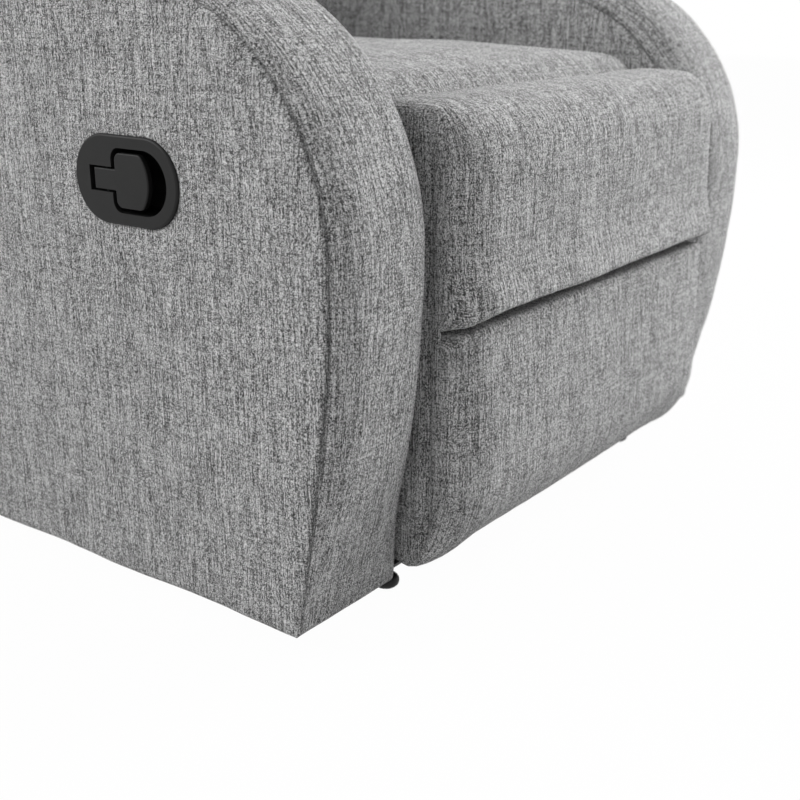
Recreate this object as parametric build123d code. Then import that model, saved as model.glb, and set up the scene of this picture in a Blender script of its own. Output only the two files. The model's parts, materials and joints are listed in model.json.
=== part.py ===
from build123d import *
import os
from math import atan2, cos, degrees, radians, sin, tan

# Recliner armchair in millimetres. +Z is up, the origin lies on the floor under the middle of the
# chair, the chair faces -Y, and the release handle is on the -X arm (the sitter's right).
# Side outlines are drawn as (depth, height): depth runs rearwards from the lower front corner of
# the arms. Left and right are the sitter's, and a pair is drawn on +X and mirrored.

# Overall sizes
chair_width = 800.0
front_y = -380.5
floor_gap = 24.0

# Fits
running_fit = 0.05
seat_fit = 0.3
plate_fit = 0.1
bolt_fit = 0.4
path_samples = 320

# Arms
arm_width = 138.0
arm_length = 745.0
arm_lean = 8.3
arm_lean_rise = 178.0
arm_belly_radius = 1015.0
arm_nose_radius = 205.0
arm_tail_radius = 60.0
arm_crown = 18.0
arm_padding = 16.0
panel_thickness = 12.0
spacer_thickness = 20.0
window_front = 300.0
window_length = 330.0
window_low = 120.0
window_height = 290.0
window_corner = 40.0
front_spacer_depth = 24.0
front_spacer_height = 340.0
top_spacer_front = 200.0
top_spacer_length = 460.0
rear_spacer_depth = 690.0
rear_spacer_height = 400.0
bottom_spacer_length = 680.0

# Handle on the right arm
handle_depth = 172.0
handle_height = 396.0
bezel_length = 126.0
bezel_height = 75.0
bezel_thickness = 3.5
bezel_round = 2.2
well_radius = 27.0
well_front = -23.5
well_rear = 15.7
well_corner = 10.0
well_depth = 34.0
well_wall = 2.2
slot_half = 10.6
slot_rear = 43.5
lever_thickness = 5.0
stem_half = 9.0
stem_rear = 38.0
paddle_half = 23.0
paddle_rear = 12.0
paddle_front = -19.5
paddle_nose = -28.5
paddle_corner = 7.0
lever_round = 1.4
lever_pivot = 31.5
lever_pivot_inset = 9.0
lever_barrel_radius = 4.5
lever_barrel_length = 5.5
lever_pin_radius = 1.5
lever_spring_radius = 2.9
lever_spring_wire = 0.4
lever_spring_turns = 4
lever_spring_pitch = 1.5

# Base frame
rail_gap = 0.5
rail_thickness = 3.0
rail_bottom = 26.0
rail_height = 55.0
rail_flange = 34.0
rail_bend = 2.0
rail_front = 8.0
rail_length = 704.0
tube_radius = 12.5
tube_wall = 1.5
tube_height = 55.0
front_tube_depth = 350.0
rear_tube_depth = 640.0
foot_radius = 13.0
foot_pad_height = 12.0
foot_round = 4.5
foot_neck_radius = 6.0
foot_stud_radius = 4.0
foot_stud_rise = 10.0
foot_inset = 18.0
front_foot_depth = 23.0
rear_foot_depth = 690.0
bolt_radius = 4.0
bolt_head_radius = 7.0
bolt_head_height = 4.0
bolt_height = 62.0
bolt_first_depth = 70.0
bolt_pitch = 170.0
bolt_count = 4
rear_panel_thickness = 18.0
rear_panel_depth = 716.0
rear_panel_bottom = 60.0
rear_panel_height = 265.0
rear_panel_corner = 12.0

# Links and rivets
link_thickness = 4.0
layer_gap = 2.5
rivet_radius = 5.0
rivet_head_radius = 9.0
rivet_head_height = 1.8
swing_length = 100.0
swing_lean = 20.0
swing_half = 13.0
swing_height = 62.0
front_swing_depth = 290.0
rear_swing_depth = 540.0

# Footrest linkage: two parallelograms in a row, closed with the footrest down
main_pivot_depth = 145.0
main_pivot_height = 300.0
footrest_swing_radius = 150.0
footrest_swing_angle = -58.0
footrest_centre_depth = -47.5
footrest_centre_height = 457.5
rear_link_offset = 60.0
rear_link_angle = -13.0
front_link_offset = 75.0
footrest_link_half = 11.0
torque_tube_radius = 10.0
torque_tube_wall = 1.5
opening_spring_wire = 1.4
opening_spring_gap = 0.6
opening_spring_turns = 5
opening_spring_pitch = 4.2
opening_spring_inset = 8.0

# Latch on the right base rail
latch_front = 130.0
latch_length = 80.0
latch_top = 128.0
latch_corner = 12.0
lug_width = 16.0
pawl_pivot_depth = 182.0
pawl_pivot_height = 96.0
pawl_half = 8.0
pawl_seat_inset = 6.0
pawl_tail_height = 102.0
pawl_gap = 1.0
pawl_rivet_radius = 4.0
pawl_head_radius = 8.0
strike_length = 6.0
cable_radius = 2.5
cable_wire_radius = 0.9
cable_bend = 34.0
cable_depth = 148.0
cable_cross_height = 204.0
cable_drop_inset = 72.0

# Seat
plate_front = 75.0
plate_centre_height = 310.0
plate_half = 20.0
plate_leg_half = 16.0
hinge_depth = 650.0
plate_flange = 38.5
seat_frame_front = 66.0
seat_frame_length = 479.0
seat_rail_thickness = 25.0
seat_side_rail_width = 36.0
seat_rail_height = 56.0
seat_rail_round = 3.0
seat_spring_wire = 1.6
seat_spring_count = 4
seat_spring_spacing = 96.0
seat_spring_reach = 7.0
seat_spring_loops = 13
seat_side_gap = 6.0
seat_front = 26.0
seat_thickness = 84.0
seat_crown = 14.0
seat_side_draw = 10.0
seat_nose = 34.0
seat_lip_thickness = 38.0
seat_lip_bottom = 349.0
seat_rear_gap = 5.0

# Back
back_tilt = 12.0
bracket_half = 16.0
bracket_rise = 60.0
bracket_length = 230.0
bracket_setback = 15.0
post_width = 28.0
post_thickness = 30.0
post_low = 32.0
post_length = 590.0
post_gap = 0.3
post_round = 3.0
back_rail_height = 55.0
back_middle_rail = 300.0
webbing_thickness = 2.0
webbing_height = 50.0
webbing_pitch = 118.0
webbing_first = 120.0
webbing_count = 4
back_half_width = 252.0
back_cushion_low = 72.0
back_cushion_length = 632.0
back_lumbar_share = 205.0
back_middle_share = 215.0
back_swell = 112.0
back_crown = 10.0
back_round = 30.0
back_side_draw = 22.0
back_side_round = 24.0
back_top_corner = 75.0
back_trim_margin = 2.0
cover_rear = 54.0
cover_side_wall = 4.0
cover_rear_wall = 20.0
cover_top_wall = 12.0
cover_low = 2.0
cover_side_low = 40.0
cover_length = 664.0
cover_corner = 60.0

# Footrest
footrest_side_gap = 6.0
footrest_bottom = 33.0
footrest_top = 462.0
footrest_crease = 264.0
footrest_rear = 15.0
footrest_sole = 6.0
footrest_swell = 80.0
footrest_crown = 9.0
footrest_round = 30.0
footrest_top_round = 46.0
footrest_side_draw = 17.0
footrest_side_round = 24.0
board_thickness = 15.0
board_margin = 26.0
board_corner = 30.0
footrest_bracket_flange = 38.0
footrest_bracket_margin = 16.0

# Places worked out from the sizes above
half_width = chair_width / 2
bay_half = half_width - arm_width
rail_plate = (bay_half - rail_gap - rail_thickness, bay_half - rail_gap)
rail_top = rail_bottom + rail_height
arm_top = floor_gap + arm_lean_rise + arm_belly_radius * sin(radians(arm_lean)) + arm_nose_radius
panel_inset = arm_padding + seat_fit
panel_bottom = floor_gap + panel_inset


def layer(number):
    """Inner and outer x of the flat links in one layer, counted inwards from the base rail."""
    outer = rail_plate[0] - number * layer_gap - (number - 1) * link_thickness
    return outer - link_thickness, outer


swing_layer, plate_layer, drive_layer, cross_layer, bracket_layer = (layer(n) for n in range(1, 6))


def heading(direction):
    """Angle in degrees of a direction in the plane of depth and height."""
    return degrees(atan2(direction.Y, direction.X))


def polar(length, angle):
    """Vector of a length at an angle in degrees, in the plane of depth and height."""
    return Vector(length * cos(radians(angle)), length * sin(radians(angle)))


# Pivots, named for the two pieces that they join
swing_step = polar(swing_length, 90 - swing_lean)
front_swing_foot = Vector(front_swing_depth, swing_height)
rear_swing_foot = Vector(rear_swing_depth, swing_height)
front_swing_head = front_swing_foot + swing_step
rear_swing_head = rear_swing_foot + swing_step
main_pivot = Vector(main_pivot_depth, main_pivot_height)
footrest_centre = Vector(footrest_centre_depth, footrest_centre_height)
main_arm = polar(footrest_swing_radius, footrest_swing_angle)
main_to_cross = main_pivot + main_arm
cross_to_footrest = footrest_centre + main_arm
rear_pivot = main_pivot + polar(rear_link_offset, rear_link_angle)
rear_to_cross = main_to_cross + rear_pivot - main_pivot
front_link_step = Vector(0, -front_link_offset)
main_to_front = main_to_cross + front_link_step
front_to_footrest = cross_to_footrest + front_link_step
hinge = Vector(hinge_depth, plate_centre_height)
strike = (main_to_cross + main_to_front) * 0.5
pawl_pivot = Vector(pawl_pivot_depth, pawl_pivot_height)
pawl_tail = Vector(cable_depth, pawl_tail_height)
pawl_outer = rail_plate[0] - rail_thickness - pawl_gap
pawl_plate = (pawl_outer - link_thickness, pawl_outer)
seat_frame_bottom = plate_centre_height + plate_half
seat_frame_top = seat_frame_bottom + seat_rail_height
seat_bottom = seat_frame_top + 2 * seat_spring_wire + seat_fit
lever_pin_x = -half_width - bezel_thickness + lever_pivot_inset
lever_pin_y = front_y + handle_depth + lever_pivot
bolt_depths = [bolt_first_depth + bolt_pitch * step for step in range(bolt_count)]


# Helpers
def side_plane(x):
    """Plane at one x for outlines in depth and height."""
    return Plane((x, front_y, 0), x_dir=(0, 1, 0), z_dir=(1, 0, 0))


def slab(outline, x_start, x_end):
    """Solid of a side outline between two x positions."""
    return extrude(side_plane(x_start) * outline, amount=x_end - x_start)


def rod(at, radius, x_start, x_end):
    """Round bar along X through a point given as depth and height."""
    return slab(Pos(at.X, at.Y) * Circle(radius), x_start, x_end)


def block(depths, heights, x_start, x_end, corner):
    """Board with its face to the side and its corners rounded."""
    face = RectangleRounded(depths[1] - depths[0], heights[1] - heights[0], corner)
    centre = Pos((depths[0] + depths[1]) / 2, (heights[0] + heights[1]) / 2)
    return slab(centre * face, x_start, x_end)


def bar(points, half):
    """Outline of a flat link: round-ended straps that join its pivots in order."""
    outline = Sketch()
    for start, end in zip(points, points[1:]):
        span = end - start
        middle = (start + end) * 0.5
        strap = Rot(0, 0, heading(span)) * SlotCenterToCenter(span.length, 2 * half)
        outline += Pos(middle.X, middle.Y) * strap
    return outline


def link(points, half, plate, holes):
    """Flat steel link in one layer, with running holes at its pivots."""
    solid = slab(bar(points, half), *plate)
    for hole in holes:
        solid -= rod(hole, rivet_radius + running_fit, *plate)
    return solid


def rivet(at, outer, inner, heads="both"):
    """Shoulder rivet through two plates one layer gap apart: shank, collar between them, heads."""
    far, near = outer[1], inner[0]
    solid = rod(at, rivet_head_radius, inner[1] + plate_fit, outer[0] - plate_fit)
    if heads in ("both", "outer"):
        far += plate_fit + rivet_head_height
        solid += rod(at, rivet_head_radius, outer[1] + plate_fit, far)
    if heads in ("both", "inner"):
        near -= plate_fit + rivet_head_height
        solid += rod(at, rivet_head_radius, near, inner[0] - plate_fit)
    return solid + rod(at, rivet_radius, near, far)


def group(pieces):
    """Several solids as one group of separate solids."""
    return Compound([solid for piece in pieces for solid in piece.solids()])


def both_sides(solid):
    """The +X solid and its mirror image, as one group of separate solids."""
    return group([solid, mirror(solid, about=Plane.YZ)])


def least_gap(path, wire_radius):
    """Smallest clear gap of a bent wire to itself, measured on points along its path."""
    points = [path @ (step / path_samples) for step in range(path_samples + 1)]
    apart = int(path_samples * 4 * wire_radius / path.length) + 1
    ends = range(path_samples + 1)
    pairs_apart = ((a, b) for a in ends for b in ends[a + apart:])
    return min((points[a] - points[b]).length for a, b in pairs_apart) - 2 * wire_radius


def wire_along(path, wire_radius):
    """Round wire along a path of tangent lines and arcs."""
    section = Plane(path @ 0, z_dir=path % 0) * Circle(wire_radius)
    return sweep(section, path=path)


def coil(radius, pitch, turns):
    """Edges of a coil about Z that climbs by a pitch each turn, as tangent arcs of a quarter turn."""
    tangent = Vector(0, radius, pitch / radians(360))
    edges = []
    for quarter in range(4 * turns):
        ends = [polar(radius, 90 * step) + Vector(0, 0, pitch * step / 4) for step in (quarter, quarter + 1)]
        edges.append(TangentArc(*ends, tangent=tangent))
        tangent = edges[-1] % 1
    return edges


# Arms
def arm_profile(swell, bottom):
    """Side outline of an arm, moved outwards by swell, with its underside at a height."""
    lean = radians(arm_lean)
    foot = Vector(-swell / cos(lean) - (bottom - floor_gap) * tan(lean), bottom)
    knee = Vector(-arm_lean_rise * tan(lean), floor_gap + arm_lean_rise) - polar(swell, arm_lean)
    front = Line(foot, knee)
    belly = JernArc(knee, front % 1, arm_belly_radius + swell, -arm_lean)
    nose = JernArc(belly @ 1, (0, 1), arm_nose_radius + swell, -90)
    top = Line(nose @ 1, (arm_length - arm_tail_radius, (nose @ 1).Y))
    tail = JernArc(top @ 1, (1, 0), arm_tail_radius + swell, -90)
    rear = Line(tail @ 1, ((tail @ 1).X, bottom))
    under = Line(rear @ 1, foot)
    return make_face([front, belly, nose, top, tail, rear, under])


def arm_cover():
    """Padded arm: a crowned strip between two flat side panels, hollow for its frame."""
    stations = [(bay_half, 0), (bay_half + arm_width / 2, arm_crown), (half_width, 0)]
    cover = loft([side_plane(x) * arm_profile(swell, floor_gap) for x, swell in stations])
    hollow = arm_profile(-arm_padding, floor_gap + arm_padding)
    cover -= slab(hollow, bay_half + arm_padding, half_width - arm_padding)
    for depth in bolt_depths:
        cover -= rod(Vector(depth, bolt_height), bolt_radius + bolt_fit, bay_half, bay_half + arm_padding)
    return cover


def arm_frame(with_handle):
    """Two plywood sides with windows, and the four spacers between them."""
    sheet = arm_profile(-panel_inset, panel_bottom)
    inner = (bay_half + panel_inset, bay_half + panel_inset + panel_thickness)
    outer = (half_width - panel_inset - panel_thickness, half_width - panel_inset)
    window_depths = (window_front, window_front + window_length)
    window_heights = (window_low, window_low + window_height)
    sides = []
    for low, high in (inner, outer):
        side = slab(sheet, low, high)
        sides.append(side - block(window_depths, window_heights, low, high, window_corner))
    for depth in bolt_depths:
        sides[0] -= rod(Vector(depth, bolt_height), bolt_radius + bolt_fit, *inner)
    if with_handle:
        sides[1] -= slab(handle_place * offset(well_outline(), well_wall + bolt_fit), *outer)
        sides[0] -= release_cable(bolt_fit)
    top = arm_top - panel_inset
    spacer_low = panel_bottom + spacer_thickness
    spacers = [
        ((front_spacer_depth, front_spacer_depth + bottom_spacer_length), (panel_bottom, spacer_low)),
        ((front_spacer_depth, front_spacer_depth + spacer_thickness),
         (spacer_low, spacer_low + front_spacer_height)),
        ((top_spacer_front, top_spacer_front + top_spacer_length), (top - spacer_thickness, top)),
        ((rear_spacer_depth, rear_spacer_depth + spacer_thickness),
         (spacer_low, spacer_low + rear_spacer_height)),
    ]
    boards = [block(d, h, inner[1], outer[0], seat_fit) for d, h in spacers]
    return group(sides + boards)


# Handle, drawn on +X like the rest of its arm and mirrored with it
handle_place = Pos(handle_depth, handle_height)


def well_outline():
    """Finger well, round in front, with the narrow slot for the lever's stem behind it."""
    well = Pos((well_front + well_rear) / 2, 0) * Rectangle(well_rear - well_front, 2 * well_radius)
    well = fillet(well.vertices().group_by(Axis.X)[-1], well_corner)
    well += Pos(well_front, 0) * Circle(well_radius)
    slot_length = slot_rear - well_front
    return well + Pos(well_front + slot_length / 2, 0) * Rectangle(slot_length, 2 * slot_half)


def handle_bezel():
    """Moulded oval bezel with a closed cup behind its opening and seats for the lever pin."""
    face = half_width + bezel_thickness
    flange = slab(handle_place * SlotOverall(bezel_length, bezel_height), half_width, face)
    flange = fillet(flange.faces().sort_by(Axis.X)[-1].edges(), bezel_round)
    cup_end = half_width - well_depth
    opening = well_outline()
    bezel = flange + slab(handle_place * offset(opening, well_wall), cup_end, half_width)
    bezel -= slab(handle_place * opening, cup_end + well_wall, face)
    return bezel - lever_pin(running_fit)


def upright(x_depth, radius, low, high):
    """Round bar along Z at the lever's pivot, between two heights about the handle's middle."""
    base = Pos(x_depth, lever_pin_y, handle_height + low)
    return base * extrude(Circle(radius), amount=high - low)


def lever_pin(clearance=0.0):
    """Pin across the stem slot, seated in the walls of the bezel's cup."""
    reach = slot_half + well_wall + clearance
    return upright(-lever_pin_x, lever_pin_radius + clearance, -reach, reach)


def handle_lever():
    """Paddle lever: T outline with a bowed free edge, and two barrels that turn on the pin."""
    face = half_width + bezel_thickness
    nose = ThreePointArc((paddle_front, paddle_half), (paddle_nose, 0), (paddle_front, -paddle_half))
    edges = Polyline((paddle_front, -paddle_half), (paddle_rear, -paddle_half),
                     (paddle_rear, paddle_half), (paddle_front, paddle_half))
    paddle = make_face([nose, *edges.edges()])
    paddle = fillet(paddle.vertices(), paddle_corner)
    stem_length = stem_rear - paddle_front
    stem = Pos(paddle_front + stem_length / 2, 0) * Rectangle(stem_length, 2 * stem_half)
    outline = handle_place * (paddle + stem)
    lever = slab(outline, face - lever_thickness, face)
    lever = fillet(lever.faces().sort_by(Axis.X)[-1].edges(), lever_round)
    neck_x = (-lever_pin_x, face - lever_thickness)
    neck_depth = handle_depth + lever_pivot
    neck_depths = (neck_depth - lever_barrel_radius, neck_depth + lever_barrel_radius)
    for low in (-stem_half, stem_half - lever_barrel_length):
        lever += upright(-lever_pin_x, lever_barrel_radius, low, low + lever_barrel_length)
        neck_low = handle_height + low
        lever += block(neck_depths, (neck_low, neck_low + lever_barrel_length), *neck_x, seat_fit)
    return lever - upright(-lever_pin_x, lever_pin_radius + running_fit, -stem_half, stem_half)


def lever_spring():
    """Small torsion spring on the lever pin, between the two barrels."""
    rise = lever_spring_pitch * lever_spring_turns
    path = Wire(coil(lever_spring_radius, lever_spring_pitch, lever_spring_turns))
    path = Pos(-lever_pin_x, lever_pin_y, handle_height - rise / 2) * path
    print("lever spring least gap", round(least_gap(path, lever_spring_wire), 2))
    return wire_along(path, lever_spring_wire)


# Base frame
def base_rail():
    """Bent angle rail: upright web against the arm, and a foot flange turned inwards."""
    web_in, web_out = rail_plate
    corners = [(web_out, rail_bottom), (web_out - rail_flange, rail_bottom),
               (web_out - rail_flange, rail_bottom + rail_thickness),
               (web_in, rail_bottom + rail_thickness), (web_in, rail_top), (web_out, rail_top)]
    section = make_face(Polyline(*corners, close=True))
    bend = section.vertices().sort_by_distance((web_out, rail_bottom, 0))[0]
    section = fillet(bend, rail_bend + rail_thickness)
    throat = section.vertices().sort_by_distance((web_in, rail_bottom + rail_thickness, 0))[0]
    section = fillet(throat, rail_bend)
    start = Plane((0, front_y + rail_front, 0), x_dir=(1, 0, 0), z_dir=(0, -1, 0))
    rail = extrude(start * section, amount=-rail_length)
    for at in (front_swing_foot, rear_swing_foot):
        rail -= rod(at, rivet_radius + running_fit, *rail_plate)
    for depth in bolt_depths:
        rail -= rod(Vector(depth, bolt_height), bolt_radius + bolt_fit, *rail_plate)
    for depth in (front_foot_depth, rear_foot_depth):
        rail -= foot_place(depth) * Cylinder(foot_stud_radius + running_fit, 4 * rail_bottom)
    return rail


def foot_place(depth):
    """Place on the floor under the foot flange of the +X rail."""
    return Pos(rail_plate[1] - foot_inset, front_y + depth, 0)


def foot(depth):
    """Turned glide: domed pad, neck and the stud that screws into the flange."""
    pad_edge = foot_radius - foot_round
    top = rail_bottom + rail_thickness + foot_stud_rise
    outline = Polyline((0, 0), (pad_edge, 0))
    rim = ThreePointArc((pad_edge, 0), (foot_radius, foot_pad_height / 2), (pad_edge, foot_pad_height))
    rest = Polyline((pad_edge, foot_pad_height), (foot_neck_radius, foot_pad_height),
                    (foot_neck_radius, rail_bottom), (foot_stud_radius, rail_bottom),
                    (foot_stud_radius, top), (0, top), (0, 0))
    profile = make_face([*outline.edges(), rim, *rest.edges()])
    return foot_place(depth) * revolve(Plane.XZ * profile, Axis.Z)


def feet(depth):
    """The two glides at one depth."""
    return both_sides(foot(depth))


def cross_tube(depth):
    """Round tube between the two base rails."""
    at = Vector(depth, tube_height)
    tube = rod(at, tube_radius, -rail_plate[0], rail_plate[0])
    return tube - rod(at, tube_radius - tube_wall, -rail_plate[0], rail_plate[0])


def arm_bolts():
    """Bolts through the rails and the arm padding into the inner arm panels."""
    head = (rail_plate[0] - bolt_head_height, rail_plate[0])
    end = bay_half + panel_inset + panel_thickness
    bolts = []
    for depth in bolt_depths:
        at = Vector(depth, bolt_height)
        hexagon = slab(Pos(at.X, at.Y) * RegularPolygon(bolt_head_radius, 6), *head)
        bolts.append(hexagon + rod(at, bolt_radius, head[0], end))
    return both_sides(group(bolts))


def rear_panel():
    """Board between the arms across the rear of the base."""
    edge = bay_half - seat_fit
    face = RectangleRounded(2 * edge, rear_panel_height, rear_panel_corner)
    start = Plane((0, front_y + rear_panel_depth, rear_panel_bottom + rear_panel_height / 2),
                  x_dir=(1, 0, 0), z_dir=(0, -1, 0))
    return extrude(start * face, amount=-rear_panel_thickness)


# Latch and release cable, drawn on +X and mirrored to the handle side
def latch_bracket():
    """Plate on the base rail that carries the pawl, with a lug on top that stops the cable's sheath."""
    depths = (latch_front, latch_front + latch_length)
    plate_x = (rail_plate[0] - rail_thickness, rail_plate[0])
    plate = block(depths, (rail_bottom + rail_thickness + rail_bend, latch_top), *plate_x, latch_corner)
    plate -= rod(pawl_pivot, pawl_rivet_radius + running_fit, *plate_x)
    lug_depths = (cable_depth - lug_width / 2, cable_depth + lug_width / 2)
    lug_heights = (latch_top - rail_thickness, latch_top)
    plate += block(lug_depths, lug_heights, pawl_plate[0], plate_x[1], seat_fit)
    wire_place = Pos(sum(pawl_plate) / 2, front_y + cable_depth, latch_top)
    return plate - wire_place * Cylinder(cable_wire_radius, 4 * rail_thickness)


def latch_pawl():
    """Pawl that props the strike pin from in front, with a tail that the cable lifts to drop its tip."""
    tip = strike - polar(pawl_seat_inset, heading(strike - pawl_pivot))
    pawl = slab(bar([pawl_tail, pawl_pivot, tip], pawl_half), *pawl_plate)
    pawl -= rod(strike, rivet_radius + bolt_fit, *pawl_plate)
    pawl -= rod(pawl_tail, cable_wire_radius, *pawl_plate)
    return pawl - rod(pawl_pivot, pawl_rivet_radius + running_fit, *pawl_plate)


def pawl_rivet():
    """Rivet that the pawl turns on."""
    near = pawl_plate[0] - plate_fit - rivet_head_height
    pin = rod(pawl_pivot, pawl_rivet_radius, near, rail_plate[0])
    return pin + rod(pawl_pivot, pawl_head_radius, near, pawl_plate[0] - plate_fit)


def release_cable(clearance=0.0):
    """Sheathed cable from the handle cup, down inside the arm, through its inner side to the latch lug."""
    start = half_width - well_depth
    drop = half_width - cable_drop_inset
    end = sum(pawl_plate) / 2
    route = [(start, handle_height), (drop, handle_height), (drop, cable_cross_height),
             (end, cable_cross_height), (end, latch_top)]
    plane = Plane((0, front_y + cable_depth, 0), x_dir=(1, 0, 0), z_dir=(0, -1, 0))
    path = plane * FilletPolyline(*route, radius=cable_bend)
    return wire_along(path, cable_radius + clearance)


# Carriage and footrest linkage
def swing_link(foot_pivot, head_pivot):
    """Carriage link between the base rail and the seat plate."""
    return link([foot_pivot, head_pivot], swing_half, swing_layer, [foot_pivot, head_pivot])


def base_rivets():
    """Rivets on the base: the feet of the swing links, and the pawl on the handle side."""
    pieces = [rivet(at, rail_plate, swing_layer, "inner") for at in (front_swing_foot, rear_swing_foot)]
    return group([both_sides(group(pieces)), mirror(pawl_rivet(), about=Plane.YZ)])


def seat_rivets():
    """Rivets that the seat plates carry: swing links, footrest links and back hinge."""
    pieces = [rivet(at, swing_layer, plate_layer) for at in (front_swing_head, rear_swing_head)]
    pieces += [rivet(at, plate_layer, drive_layer) for at in (rear_pivot, hinge)]
    pieces.append(rivet(main_pivot, plate_layer, drive_layer, "outer"))
    return both_sides(group(pieces))


def main_link():
    """Main footrest link, cranked at the cross link, with the strike pin for the latch."""
    pivots = [main_pivot, main_to_cross, main_to_front]
    solid = link(pivots, footrest_link_half, drive_layer, pivots)
    return solid + rod(strike, rivet_radius, drive_layer[1], drive_layer[1] + strike_length)


def main_rivets():
    """Rivets of the main links at their cross and front links."""
    pair = [rivet(at, drive_layer, cross_layer) for at in (main_to_cross, main_to_front)]
    return both_sides(group(pair))


def torque_tube():
    """Tube on the main pivot's axis, welded to both main links so that the sides turn together."""
    tube = rod(main_pivot, torque_tube_radius, -drive_layer[0], drive_layer[0])
    return tube - rod(main_pivot, torque_tube_radius - torque_tube_wall, -drive_layer[0], drive_layer[0])


def opening_spring():
    """Torsion spring round the torque tube, with its leg up under the seat plate's flange."""
    radius = torque_tube_radius + opening_spring_gap + opening_spring_wire
    edges = coil(radius, opening_spring_pitch, opening_spring_turns)
    flange_bottom = seat_frame_bottom - link_thickness
    leg = flange_bottom - seat_fit - main_pivot.Y
    start = edges[-1] @ 1
    tangent = edges[-1] % 1
    edges.append(Line(start, start + tangent * (leg / tangent.Y)))
    print("opening spring least gap", round(least_gap(Wire(edges), opening_spring_wire), 2))
    outer = bracket_layer[0] - opening_spring_inset
    place = side_plane(outer) * Pos(main_pivot.X, main_pivot.Y) * Rot(0, 180, 0)
    return wire_along(place * Wire(edges), opening_spring_wire)


def rear_link():
    """Rear footrest link, parallel to the main link."""
    pivots = [rear_pivot, rear_to_cross]
    return link(pivots, footrest_link_half, drive_layer, pivots)


def rear_rivets():
    """Rivets of the rear links at the cross links."""
    return both_sides(rivet(rear_to_cross, drive_layer, cross_layer))


def cross_link():
    """Cross link from the two drive links out to the footrest bracket."""
    pivots = [rear_to_cross, main_to_cross, cross_to_footrest]
    return link(pivots, footrest_link_half, cross_layer, pivots)


def front_link():
    """Front footrest link, parallel to the cross link."""
    pivots = [main_to_front, front_to_footrest]
    return link(pivots, footrest_link_half, cross_layer, pivots)


def footrest_rivets():
    """Rivets that the footrest brackets carry."""
    pair = [rivet(at, cross_layer, bracket_layer) for at in (cross_to_footrest, front_to_footrest)]
    return both_sides(group(pair))


def footrest_bracket():
    """Angle bracket: ear with the two footrest pivots, flange screwed to the board."""
    low = front_to_footrest.Y - footrest_bracket_margin
    high = cross_to_footrest.Y + footrest_bracket_margin
    ear = bar([cross_to_footrest, front_to_footrest], footrest_link_half)
    root_depth = cross_to_footrest.X - footrest_rear
    ear += Pos(footrest_rear + root_depth / 2, (low + high) / 2) * Rectangle(root_depth, high - low)
    solid = slab(ear, *bracket_layer)
    for at in (cross_to_footrest, front_to_footrest):
        solid -= rod(at, rivet_radius + running_fit, *bracket_layer)
    flange_x = (bracket_layer[0] - footrest_bracket_flange, bracket_layer[0])
    flange_depths = (footrest_rear, footrest_rear + link_thickness)
    return solid + block(flange_depths, (low, high), *flange_x, seat_fit)


# Footrest pad
def puffed_outline(rear, front, crown, rounds, stations):
    """Padded section: flat at the rear, one rounded puff between each two stations in front.

    Each puff has a bowed face that reaches the front, and quarter rounds of its stations' own radii;
    where two puffs meet, their rounds leave a sewn crease as deep as the radius there.
    """
    face = front + crown
    share = 1 - sin(radians(45))
    edges = [Line((rear, stations[0]), (face + rounds[0], stations[0]))]
    for low, high, below, above in zip(stations, stations[1:], rounds, rounds[1:]):
        hip, shoulder = low + below, high - above
        lower_turn = (face + share * below, low + share * below)
        upper_turn = (face + share * above, high - share * above)
        edges.append(ThreePointArc((face + below, low), lower_turn, (face, hip)))
        edges.append(ThreePointArc((face, hip), (front, (hip + shoulder) / 2), (face, shoulder)))
        edges.append(ThreePointArc((face, shoulder), upper_turn, (face + above, high)))
    edges.append(Line((face + rounds[-1], stations[-1]), (rear, stations[-1])))
    edges.append(Line((rear, stations[-1]), (rear, stations[0])))
    return make_face(edges)


def footrest_section(draw, crease_round):
    """Section of the footrest pad with its face drawn in by an amount: tucked well under below."""
    stations = [footrest_bottom, footrest_crease, footrest_top]
    low_round = footrest_rear + footrest_swell - footrest_crown - footrest_sole - draw
    rounds = [low_round, crease_round, footrest_top_round - draw]
    return puffed_outline(footrest_rear, draw - footrest_swell, footrest_crown, rounds, stations)


def footrest_cushion():
    """Footrest pad with two puffs, drawn in towards its sides, rebated behind for the board."""
    edge = bay_half - footrest_side_gap
    middle = footrest_section(0, footrest_round)
    side = footrest_section(footrest_side_draw, footrest_side_round)
    pad = loft([side_plane(-edge) * side, side_plane(0) * middle, side_plane(edge) * side])
    return pad - footrest_board_block(seat_fit)


def footrest_board_block(clearance):
    """Board outline, widened by a clearance, through the rear of the pad."""
    edge = bay_half - footrest_side_gap - board_margin + clearance
    low = footrest_bottom + board_margin - clearance
    high = footrest_top - board_margin + clearance
    face = RectangleRounded(2 * edge, high - low, board_corner)
    start = Plane((0, front_y + footrest_rear, (low + high) / 2), x_dir=(1, 0, 0), z_dir=(0, -1, 0))
    return extrude(start * face, amount=board_thickness + clearance)


def footrest_board():
    """Plywood board that carries the pad and the brackets."""
    return footrest_board_block(0)


# Seat
def seat_plate():
    """Side plate with legs down to the swing links and a flange under the seat frame."""
    ends = [Vector(plate_front, plate_centre_height), hinge]
    outline = bar(ends, plate_half)
    for head in (front_swing_head, rear_swing_head):
        outline += bar([head, Vector(head.X, plate_centre_height)], plate_leg_half)
    outline += bar([main_pivot, rear_pivot], plate_leg_half)
    plate = slab(outline, *plate_layer)
    for at in (front_swing_head, rear_swing_head, main_pivot, rear_pivot, hinge):
        plate -= rod(at, rivet_radius + running_fit, *plate_layer)
    depths = (seat_frame_front, seat_frame_front + seat_frame_length)
    heights = (seat_frame_bottom - link_thickness, seat_frame_bottom)
    plate -= block((depths[1], hinge_depth + plate_half), heights, *plate_layer, seat_fit)
    flange_x = (plate_layer[0] - plate_flange, plate_layer[1])
    return plate + block(depths, heights, *flange_x, seat_fit)


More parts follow.
